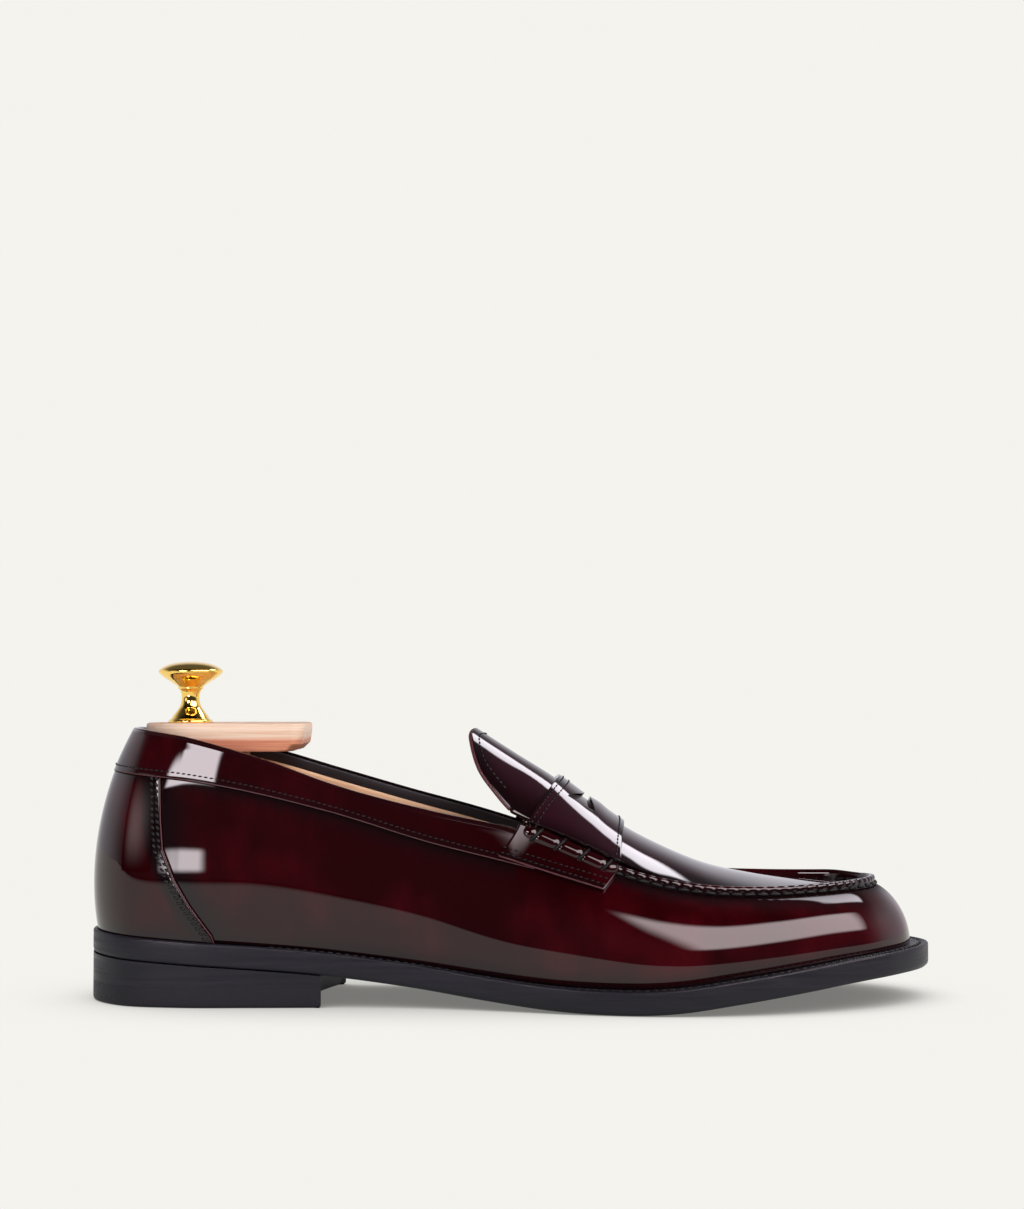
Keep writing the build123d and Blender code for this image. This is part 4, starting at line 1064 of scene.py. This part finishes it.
class LOAFER_OT_bottom(PieceOperator):
    """Outsole, welt, heel rand, heel lifts and rubber top lift"""
    bl_idname = "loafer.bottom"
    bl_label = "Sole and heel"

    def build(self):
        self.layer("Outsole", [(14, 0), (1.8, 0), (0.8, 0.2), (0.25, 0.7), (0.05, 1.3), (0, 2.0), (0, 4.98),
                               (3, 4.98), (14, 4.98)], "outsole", solid=True)
        self.layer("Welt", [(12.5, 5.0), (0.0, 5.0), (0.0, 7.3), (0.12, 7.8), (0.4, 8.08), (0.8, 8.2),
                            (1.4, 8.2), (1.7, 7.95), (2.7, 7.95), (3.0, 8.2), (12.5, 8.2)],
                   "welt", "heel_rand")
        self.heel("Heel lift", 9.62, None, "black_sole", "heel_lift_upper")
        self.heel("Lower heel lift", 7.04, 9.6, "black_sole", "heel_lift_lower")
        self.heel("Rubber top lift", 0.0, 7.0, "black_rubber", "top_lift")

    def layer(self, name, profile, *nodes, solid=False):
        """A layer of the sole from its edge profile, (inset, height); a solid one is closed underneath."""
        loop, out = outline(0.0, 1.1)
        profile = np.array(profile)
        plan = loop[:, None] - out[:, None] * profile[None, :, :1]
        z = sole_z(plan[..., 0], profile[None, :, 1])
        points = np.concatenate([plan, z[..., None]], -1)
        if solid:
            spine = np.column_stack([np.clip(loop[:, 0], 24, 268), np.interp(loop[:, 0], (24, 268), (0, 3))])
            inner = points[:, :1, :2]
            rings = spine[:, None] + (inner - spine[:, None]) * np.linspace(0, 1, 8)[None, :-1, None]
            under = np.concatenate([rings, sole_z(rings[..., 0], 0.0)[..., None]], -1)
            points = np.concatenate([under, points], 1)
        piece = grid_piece(name, closed(points), wrap=not solid)
        weld(piece)
        piece.data.set_sharp_from_angle(angle=math.radians(40))
        settle(piece, "black_sole", *nodes)

    def heel(self, name, low, high, slot, node):
        """A layer of the heel between two heights, or up to the sole where no upper one is given."""
        rows = rows_spaced(9.0, 21.0, 1.0)
        edge, out, values = wall_rows(rows)
        edge = edge - out * 0.06
        limit = np.where(edge[:, 1] < 0, 83.5, 87.5)
        keep = edge[:, 0] < limit
        edge, out = edge[keep], out[keep]
        first, last = edge[0].copy(), edge[-1].copy()
        first[0], last[0] = 83.5, 87.5
        edge = np.concatenate([[first], edge, [last]])
        y = np.linspace(last[1], first[1], 40)[1:-1]
        breast = np.column_stack([value_at(np.array([(-33, 83.6), (0, 79), (33, 87.6)]), y), y])
        loop = np.concatenate([edge, breast])
        along = np.roll(loop, -1, 0) - np.roll(loop, 1, 0)
        along /= np.linalg.norm(along, axis=1, keepdims=True)
        out = np.column_stack([-along[:, 1], along[:, 0]])
        columns = []
        round_foot = ((1.2, 0, 0), (0.45, 0, 0.2), (0.1, 0, 0.6), (0, 0, 1.2)) if low == 0 else ((0, 0, 0),)
        for inset, share, lift in (*round_foot, (0, 0.5, 0), (0, 1, 0.0)):
            plan = loop - out * inset
            top = sole_z(plan[:, 0], -0.02) if high is None else np.full(len(plan), high)
            columns.append(np.column_stack([plan, low + (top - low) * share + lift]))
        points = np.stack(columns, 1)
        middle = np.array([42.0, 0.0])
        for at, place in ((0, 0), (-1, points.shape[1] + 1)):
            inner = points[:, at].copy()
            inner[:, :2] = middle + (inner[:, :2] - middle) * 0.02
            if high is None and at == -1:
                inner[:, 2] = sole_z(inner[:, 0], -0.02)
            points = np.insert(points, place, inner, axis=1)
        piece = grid_piece(name, closed(points))
        weld(piece)
        piece.data.set_sharp_from_angle(angle=math.radians(40))
        settle(piece, slot, node)


# ---- stitches ----
def stitch_tree(material):
    """Nodes that set one stitch after another along paths, each lying on the surface."""
    tree = bpy.data.node_groups.new("Stitches", "GeometryNodeTree")
    sockets = {}
    tree.interface.new_socket("Path", in_out="INPUT", socket_type="NodeSocketGeometry")
    for name, default in (("Pitch", 0.002), ("Length", 0.0015), ("Width", 0.0005), ("Tilt", 0.0),
                          ("Jitter", 0.06)):
        socket = tree.interface.new_socket(name, in_out="INPUT", socket_type="NodeSocketFloat")
        socket.default_value = default
        sockets[name] = socket.identifier
    tree.interface.new_socket("Stitches", in_out="OUTPUT", socket_type="NodeSocketGeometry")
    new, link_up = tree.nodes.new, tree.links.new

    def node(kind, values=(), **settings):
        made = new(kind)
        for key, value in settings.items():
            setattr(made, key, value)
        for key, value in values:
            if hasattr(value, "links"):
                link_up(value, made.inputs[key])
            else:
                made.inputs[key].default_value = value
        return made

    given = new("NodeGroupInput").outputs
    curve = node("GeometryNodeMeshToCurve", [(0, given["Path"])])
    even = node("GeometryNodeResampleCurve", [("Curve", curve.outputs[0]), ("Length", given["Pitch"])],
                mode="LENGTH")
    tangent = node("GeometryNodeInputTangent")
    normal = node("GeometryNodeInputNamedAttribute", [("Name", "lie")], data_type="FLOAT_VECTOR")
    along = node("FunctionNodeAlignRotationToVector", [("Vector", tangent.outputs[0])], axis="X")
    lying = node("FunctionNodeAlignRotationToVector", [
        ("Rotation", along.outputs[0]), ("Vector", normal.outputs[0])], axis="Z", pivot_axis="X")
    wobble = node("FunctionNodeRandomValue", [("Seed", 7)], data_type="FLOAT")
    wobble.inputs[2].default_value = -1.0
    wobble.inputs[3].default_value = 1.0
    shake = node("ShaderNodeMath", [(0, wobble.outputs[1]), (1, given["Jitter"]), (2, given["Tilt"])],
                 operation="MULTIPLY_ADD")
    angles = node("ShaderNodeCombineXYZ", [("Z", shake.outputs[0])])
    turn = node("FunctionNodeEulerToRotation", [(0, angles.outputs[0])])
    laid = node("FunctionNodeRotateRotation", [(0, lying.outputs[0]), (1, turn.outputs[0])],
                rotation_space="LOCAL")
    scale = node("ShaderNodeCombineXYZ", [("X", given["Length"]), ("Y", given["Width"]),
                                          ("Z", given["Width"])])
    bead = node("GeometryNodeMeshUVSphere", [("Segments", 10), ("Rings", 8), ("Radius", 0.5)])
    smooth = node("GeometryNodeSetShadeSmooth", [(0, bead.outputs[0])])
    placed = node("GeometryNodeInstanceOnPoints", [
        ("Points", even.outputs[0]), ("Instance", smooth.outputs[0]), ("Rotation", laid.outputs[0]),
        ("Scale", scale.outputs[0])])
    real = node("GeometryNodeRealizeInstances", [(0, placed.outputs[0])])
    dyed = node("GeometryNodeSetMaterial", [("Geometry", real.outputs[0]), ("Material", material)])
    link_up(dyed.outputs[0], new("NodeGroupOutput").inputs[0])
    return tree, sockets


def path_mesh(name, paths):
    """Edges along lines in mm, each with the surface's direction out as an attribute."""
    points, normals, edges = [], [], []
    for line, lie in paths:
        start = len(points)
        points += to_metres(line).tolist()
        normals += lie.tolist()
        edges += [(start + i, start + i + 1) for i in range(len(line) - 1)]
    mesh = bpy.data.meshes.new(name)
    mesh.from_pydata(points, edges, [])
    attribute = mesh.attributes.new("lie", "FLOAT_VECTOR", "POINT")
    attribute.data.foreach_set("vector", np.array(normals, np.float32).reshape(-1))
    return link(name, mesh)


def wall_path(rows, heights, depth):
    """A line on the wall and the way out along it."""
    rows, heights = np.broadcast_arrays(np.asarray(rows, float), np.asarray(heights, float))
    line = wall(rows, heights, depth)
    lie = wall(rows, heights, depth - 1.0) - line
    return line, lie


def apron_path(x, y, rise):
    line = apron(x, y, rise)
    return line, apron(x, y, rise + 1.0) - line


class LOAFER_OT_stitching(PieceOperator):
    """Every visible row of stitches, set by one Geometry Nodes tree"""
    bl_idname = "loafer.stitching"
    bl_label = "Stitches"

    def build(self):
        tree, sockets = stitch_tree(waxed_thread())
        fine = size("fine_pitch")
        self.sew("Upper stitches", self.fine_paths(), tree, sockets, fine, fine * 0.72, 0.55, 0.12)
        self.sew("Heel seam stitches", self.seam_paths(), tree, sockets, 2.1, 1.9, 0.95, 0.55)
        self.sew("Apron stitches", self.apron_paths(), tree, sockets, size("apron_pitch"),
                 size("apron_pitch") * 0.93, 1.2, 0.0)
        rows = rows_spaced(0, ROWS, 1.2)[:-1]
        edge, out, values = wall_rows(rows)
        loop = edge - out * (0.65 + 0.36 * values[:, :1])
        keep = loop[:, 0] > 66
        order = np.roll(np.arange(len(loop)), -int(np.argmin(keep)))
        order = order[keep[order]]
        line = np.column_stack([loop, sole_z(loop[:, 0], 8.12)])[order]
        lie = np.tile((0.0, 0.0, 1.0), (len(line), 1))
        welt = size("welt_pitch")
        self.sew("Welt stitches", [(line, lie)], tree, sockets, welt, welt * 0.78, 0.85, 0.0, "welt_thread")

    def sew(self, name, paths, tree, sockets, pitch, length, width, tilt, *nodes):
        piece = path_mesh(name, paths)
        modifier = piece.modifiers.new("stitches", "NODES")
        modifier.node_group = tree
        for key, value in (("Pitch", pitch * MM), ("Length", length * MM), ("Width", width * MM),
                           ("Tilt", tilt)):
            modifier[sockets[key]] = value
        settle(apply_modifiers(piece), "black_thread", *nodes)

    def fine_paths(self):
        paths = []
        rows = rows_spaced(COLLAR_ROWS[0] + 0.25, COLLAR_ROWS[1] - 0.25, 1.5)
        length = wall_length(rows)
        paths.append(wall_path(rows, band_foot(rows) + 2.0 / length, -OVERLAY - 0.32))
        u = np.linspace(0.02, 0.98, 40)
        for start in (7.5, 23.5):
            for up in (0.10, 0.24):
                x = 144.9 + 35.7 * u + 6.2 * up
                z = 51.5 - 11.1 * u + 12.75 * up
                rows, heights = on_wall(x, z, start)
                paths.append(wall_path(rows, heights, -1.9 - 0.3 * smooth_step((156 - x) / 9)))
        loop, seam = apron_loop(1.7)
        tongue = loop[seam:]
        spine = np.column_stack([np.clip(tongue[:, 0], 152, 255), np.zeros(len(tongue))])
        inward = spine - tongue
        inward /= np.linalg.norm(inward, axis=1, keepdims=True)
        inner = (tongue + inward * 3.0)[4:-4]
        paths.append(apron_path(inner[:, 0], inner[:, 1], 0.06))
        y = np.linspace(-30, 30, 60)
        for table, shift, widest in ((STRAP_REAR, 1.3, 0.95), (STRAP_REAR, 3.3, 0.95),
                                     (STRAP_FRONT, -1.6, 1.02)):
            paths.append(apron_path(edge_line(table, y * widest) + shift, y * widest, STRAP + 0.12))
        return paths

    def seam_paths(self):
        shares = np.linspace(0.03, 0.99, 60)
        places = [seam_rows(shares, 15, end, back) for end in (10.2, 19.8) for back in (1.1, 2.8)]
        return [wall_path(rows, shares * band_foot(rows), -OVERLAY - 0.08) for rows in places]

    def apron_paths(self):
        paths = []
        rows = rows_spaced(-7.0, 7.0, 1.5)
        share = (ridge_height(rows) / RIM)[:, None]
        for out, up, toward in ((0.55, 0.55, 1), (-2.35, 1.0, -1)):
            line = rim_points(rows, out, up * share)[:, 0]
            direction = wall_rows(rows)[1] * toward
            lie = np.column_stack([direction, np.full(len(rows), 0.5)])
            paths.append((line, lie / np.linalg.norm(lie, axis=1, keepdims=True)))
        return paths


# the tree's rod: x and z where its axis starts, and degrees down towards the toe
TREE_START, TREE_FALL = (52, 48), 7.4
MAIN_SPRING, HEEL_TRAVEL = (75, 116), 15     # ends along the axis
SIDE_SPRING, SIDE_TRAVEL = 6, 3              # half the length of each side spring


class LOAFER_OT_tree(PieceOperator):
    """Cedar shoe tree with its brass knob, steel rod, tube and springs"""
    bl_idname = "loafer.shoe_tree"
    bl_label = "Shoe tree"

    def build(self):
        self.knob()
        self.block()
        dress("cedar", "tree_forepart_lateral", "tree_forepart_medial")
        dress("steel", "tree_rod", "tree_tube", "rod_pin", "knob_screw")
        dress("dowel_wood", "tree_dowels")
        self.springs()

    def springs(self):
        """Both kinds of spring, copied from their CAD nodes with their finish."""
        fall = math.radians(TREE_FALL)
        along = np.array([math.cos(fall), 0, -math.sin(fall)])
        near_end, far_end = MAIN_SPRING
        anchor = np.array([TREE_START[0], 0, TREE_START[1]]) + along * far_end
        self.spring("tree_spring", "tree_heel_slide", along, anchor, 1 - HEEL_TRAVEL / (far_end - near_end))
        self.spring("tree_side_springs", "tree_medial_slide", (0, 1, 0), (0, -SIDE_SPRING, 0),
                    1 - SIDE_TRAVEL / (2 * SIDE_SPRING))

    def spring(self, node, joint, axis, anchor, keep):
        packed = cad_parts[node]
        mesh = packed.data.copy()
        mesh.transform(packed.matrix_world)
        piece = settle(link(f"{node} coils", mesh), "spring_steel", node)
        tuple(to_metres(anchor))
        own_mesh(piece)

    def block(self):
        """Plank with its rounded end and the heel block below it, one piece of cedar."""
        def loop(back, half, front, corner):
            turn = np.linspace(math.pi / 2, 1.5 * math.pi, 40)
            tail = np.column_stack([back + half + half * np.cos(turn), half * np.sin(turn)])
            turn = np.linspace(-math.pi / 2, 0, 12)
            near_corner = np.column_stack([front - corner + corner * np.cos(turn),
                                           -half + corner + corner * np.sin(turn)])
            side = np.linspace(back + half + 1, front - corner - 0.5, 24)
            right = np.column_stack([side, np.full(24, -half)])
            end = np.column_stack([np.full(12, front),
                                   np.linspace(-half + corner + 0.5, half - corner - 0.5, 12)])
            line = np.concatenate([tail, right, near_corner, end])
            return np.concatenate([line, (near_corner * (1, -1))[::-1], (right * (1, -1))[::-1]])

        rings = []
        for level, back, half in ((31.5, 6.0, 25.4), (46, 5.8, 26.0), (60, 7.4, 24.8), (75, 11.0, 22.6),
                                  (87.4, 16.2, 19.4)):
            line = loop(back, half, 53, 2.0)
            rings.append(np.column_stack([line, np.full(len(line), level)]))
        centre = np.array([34.0, 0.0])
        for level, inset in ((87.3, 0.5), (87.45, 0.15), (87.8, 0), (90, 0), (94, 0), (96.4, 0), (96.9, 0.2),
                             (97.15, 0.6), (97.2, 1.2)):
            line = loop(18.2 + inset, 19.4 - inset, 76 - inset, 4.5)
            lip = 5.4 * smooth_step((line[:, 0] - 66) / 9)
            under = np.clip((level - 87.3) / np.maximum(lip, 0.01), 0, 1)
            back_by = lip * (1 - np.sqrt(1 - (1 - under)**2)) * (level < 93)
            inward = (centre - line) / np.linalg.norm(line - centre, axis=1, keepdims=True)
            line = line + inward * back_by[:, None]
            rings.append(np.column_stack([line, np.full(len(line), level)]))
        for at, place in ((0, 0), (-1, len(rings) + 1)):
            cap = rings[at].copy()
            cap[:, :2] = centre + (cap[:, :2] - centre) * 0.01
            rings.insert(place, cap)
        block = grid_piece("Heel block", closed(np.stack(rings, 1)))
        weld(block, 1.2e-5)
        block.data.set_sharp_from_angle(angle=math.radians(32))
        settle(block, "cedar", "tree_heel_block", body="tree_heel")

    def knob(self):
        """Turned about the upright axis of its screw; its profile is (radius, height above the block)."""
        profile = np.array([(7.8, 0), (7.85, 0.5), (7.6, 1.0), (6.9, 1.4), (6.6, 1.9), (5.9, 2.9), (5.0, 4.1),
                            (3.9, 5.7), (3.3, 7.4), (3.15, 8.9), (3.35, 10.4), (3.8, 11.6), (4.5, 12.2),
                            (4.5, 12.8), (5.0, 13.2), (6.9, 14.5), (8.9, 15.7), (10.3, 16.8), (11.2, 17.7),
                            (11.5, 18.3), (11.35, 18.8), (10.7, 19.4), (9.2, 20.3), (6.8, 21.15),
                            (3.6, 21.7), (1.6, 21.86), (0.02, 21.9)])
        run = np.concatenate([[0], np.cumsum(np.linalg.norm(np.diff(profile, axis=0), axis=1))])
        fine = curve_through(np.column_stack([run, profile]), np.linspace(0, run[-1], 120))
        fine[:, 0] = np.maximum(fine[:, 0], 0.01)
        angle = np.linspace(0, 2 * math.pi, 97)[:-1]
        points = np.stack([33.7 + fine[None, :, 0] * np.cos(angle)[:, None],
                           fine[None, :, 0] * np.sin(angle)[:, None],
                           97.2 + fine[None, :, 1] + 0 * angle[:, None]], -1)
        knob = grid_piece("Brass knob", closed(points))
        weld(knob, 1.2e-5)
        settle(knob, "brass", "tree_knob", body="tree_heel")


def dress(slot, *nodes):
    """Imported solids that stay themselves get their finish."""
    for node in nodes:
        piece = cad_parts[node]
        piece.data.materials.clear()
        piece.data.materials.append(FINISHES[slot]())


class LOAFER_OT_hidden(PieceOperator):
    """Finishes of the pieces inside the shoe"""
    bl_idname = "loafer.inside"
    bl_label = "Inside pieces"

    def build(self):
        dress("stiff_board", "heel_stiffener")
        dress("tan_lining", "insole", "sock_liner")
        dress("cork", "cork_filler")
        dress("spring_steel", "shank")
        dress("steel", "heel_nails")


class LOAFER_OT_stage(PieceOperator):
    """Camera, softboxes, floor and backdrop"""
    bl_idname = "loafer.stage"
    bl_label = "Stage"

    def build(self):
        data = bpy.data.cameras.new("Camera")
        data.lens = 64.08
        data.clip_end = 100
        camera = bpy.data.objects.new("Camera", data)
        camera.location = (0, -0.773, 0.1103)
        camera.rotation_euler = (math.radians(92.17), 0, 0)
        bpy.context.scene.collection.objects.link(camera)
        bpy.context.scene.camera = camera
        bpy.context.scene.view_settings.view_transform = "Standard"
        self.floor()
        self.world()
        for row in SOFTBOXES:
            self.softbox(*row)

    def floor(self):
        mesh = bpy.data.meshes.new("Floor")
        mesh.from_pydata([(-40, -0.55, 0), (40, -0.55, 0), (40, 60, 0), (-40, 60, 0)], [], [(0, 1, 2, 3)])
        floor = link("Floor", mesh)
        f = Finish("Floor")
        # Painted contact shadow: the floor glows in the backdrop colour, darkened by ambient occlusion near
        # the shoe, and its glow fades out towards its front edge.
        shade = f.node("ShaderNodeAmbientOcclusion", {"samples": 16}, {"Distance": 0.07}, output=1)
        deep = f.range(shade, 0.0, 0.93, 0.2, 1.0)
        front = f.node("ShaderNodeSeparateXYZ", {}, [f.place()], output="Y")
        light = f.node("ShaderNodeEmission", {}, {"Color": f.mix(deep, (0, 0, 0), hue("backdrop")),
                                                 "Strength": f.range(front, -0.5, -0.34)})
        f.tree.links.new(light.socket, f.tree.nodes["Material Output"].inputs["Surface"])
        mesh.materials.append(f.material)

    def world(self):
        world = bpy.data.worlds.new("World")
        bpy.context.scene.world = world
        world.use_nodes = True
        nodes, links = world.node_tree.nodes, world.node_tree.links
        nodes.clear()
        seen, around, mix, out = (nodes.new(kind) for kind in ("ShaderNodeBackground", "ShaderNodeBackground",
                                                              "ShaderNodeMixShader", "ShaderNodeOutputWorld"))
        rays = nodes.new("ShaderNodeLightPath")
        seen.inputs["Color"].default_value = (*hue("backdrop"), 1)
        around.inputs["Color"].default_value = (0.94, 0.93, 1.0, 1)
        coords, parts = nodes.new("ShaderNodeTexCoord"), nodes.new("ShaderNodeSeparateXYZ")
        links.new(coords.outputs["Generated"], parts.inputs[0])
        strength = None
        for axis, low, high, start, end in (("Y", -0.35, 0.35, 0.05, 0.9), ("Z", 0.32, 0.72, 1.0, 0.12)):
            spread = nodes.new("ShaderNodeMapRange")
            spread.interpolation_type = "SMOOTHSTEP"
            links.new(parts.outputs[axis], spread.inputs["Value"])
            for key, value in (("From Min", low), ("From Max", high), ("To Min", start), ("To Max", end)):
                spread.inputs[key].default_value = value
            if strength is None:
                strength = spread.outputs[0]
                continue
            both = nodes.new("ShaderNodeMath")
            both.operation = "MULTIPLY"
            links.new(strength, both.inputs[0])
            links.new(spread.outputs[0], both.inputs[1])
            links.new(both.outputs[0], around.inputs["Strength"])
        links.new(rays.outputs["Is Camera Ray"], mix.inputs[0])
        links.new(around.outputs[0], mix.inputs[1])
        links.new(seen.outputs[0], mix.inputs[2])
        links.new(mix.outputs[0], out.inputs[0])

    def softbox(self, name, subject, bearings, heights, away, radiance, colour, soft):
        """A softbox that fills some bearings (0 towards the camera, 90 to the toe) and elevations seen from a
        subject, in degrees, and fades over a share of its width at the edges."""
        bearing, height = math.radians(sum(bearings) / 2), math.radians(sum(heights) / 2)
        half_wide = away * math.tan(math.radians(abs(bearings[1] - bearings[0]) / 2)) * math.cos(height)
        half_tall = away * math.tan(math.radians(abs(heights[1] - heights[0]) / 2))
        mesh = bpy.data.meshes.new(name)
        mesh.from_pydata([(-half_wide, -half_tall, 0), (half_wide, -half_tall, 0), (half_wide, half_tall, 0),
                          (-half_wide, half_tall, 0)], [], [(0, 1, 2, 3)])
        box = link(name, mesh)
        toward = Vector((math.sin(bearing) * math.cos(height), -math.cos(bearing) * math.cos(height),
                         math.sin(height)))
        box.location = Vector(subject) + toward * away
        box.rotation_euler = toward.to_track_quat("Z", "Y").to_euler()
        f = Finish(name)
        glow = 1.0
        for axis, half in (("X", half_wide), ("Y", half_tall)):
            place = f.node("ShaderNodeSeparateXYZ", {}, [f.place()], output=axis)
            edge = f.node("ShaderNodeMath", {"operation": "ABSOLUTE"}, [place])
            glow = f.range(edge, half, half * (1 - soft)) * glow
        light = f.node("ShaderNodeEmission", {}, {"Color": colour, "Strength": glow * radiance})
        f.tree.links.new(light.socket, f.tree.nodes["Material Output"].inputs["Surface"])
        mesh.materials.append(f.material)


HEEL, MIDDLE = (-0.105, -0.03, 0.07), (0.03, -0.03, 0.04)
# name, subject, bearings, elevations, distance, radiance, colour, softness
SOFTBOXES = [
    ("Heel window", HEEL, (-38, -9), (21, 33), 0.38, 17, (1.0, 0.90, 0.95), 0.14),
    ("Heel low", HEEL, (-35, -12), (-10, 1), 0.2, 14, (1.0, 0.90, 0.94), 0.5),
    ("Vamp", MIDDLE, (2, 86), (20, 54), 1.3, 8, (1.0, 0.86, 0.88), 0.3),
    ("Behind", MIDDLE, (112, 152), (42, 57), 1.3, 9, (0.98, 0.93, 1.0), 0.35),
    ("Heel side", HEEL, (-80, -34), (-4, 24), 0.7, 1.6, (1.0, 0.9, 0.9), 0.9),
]


class LOAFER_PT_panel(bpy.types.Panel):
    """Colours, sizes and builders of the loafer"""
    bl_label = "Penny loafer"
    bl_idname = "LOAFER_PT_panel"
    bl_space_type = "VIEW_3D"
    bl_region_type = "UI"
    bl_category = "Loafer"

    def draw(self, context):
        for group in (context.scene.loafer_colours, context.scene.loafer_sizes):
            box = self.layout.box()
            for key in group.__annotations__:
                box.prop(group, key)
        for operator in OPERATORS:
            self.layout.operator(operator.bl_idname)


OPERATORS = (LOAFER_OT_vamp, LOAFER_OT_quarters, LOAFER_OT_apron, LOAFER_OT_linings, LOAFER_OT_bottom,
             LOAFER_OT_stitching, LOAFER_OT_tree, LOAFER_OT_hidden, LOAFER_OT_stage)
CLASSES = (LoaferColours, LoaferSizes) + OPERATORS + (LOAFER_PT_panel,)


def register():
    for cls in CLASSES:
        bpy.utils.register_class(cls)
    bpy.types.Scene.loafer_colours = PointerProperty(type=LoaferColours)
    bpy.types.Scene.loafer_sizes = PointerProperty(type=LoaferSizes)


def unregister():
    del bpy.types.Scene.loafer_sizes
    del bpy.types.Scene.loafer_colours
    for cls in reversed(CLASSES):
        bpy.utils.unregister_class(cls)


def main():
    register()
    for operator in OPERATORS:
        group, name = operator.bl_idname.split(".")
        getattr(getattr(bpy.ops, group), name)()


if __name__ == "__main__":
    main()
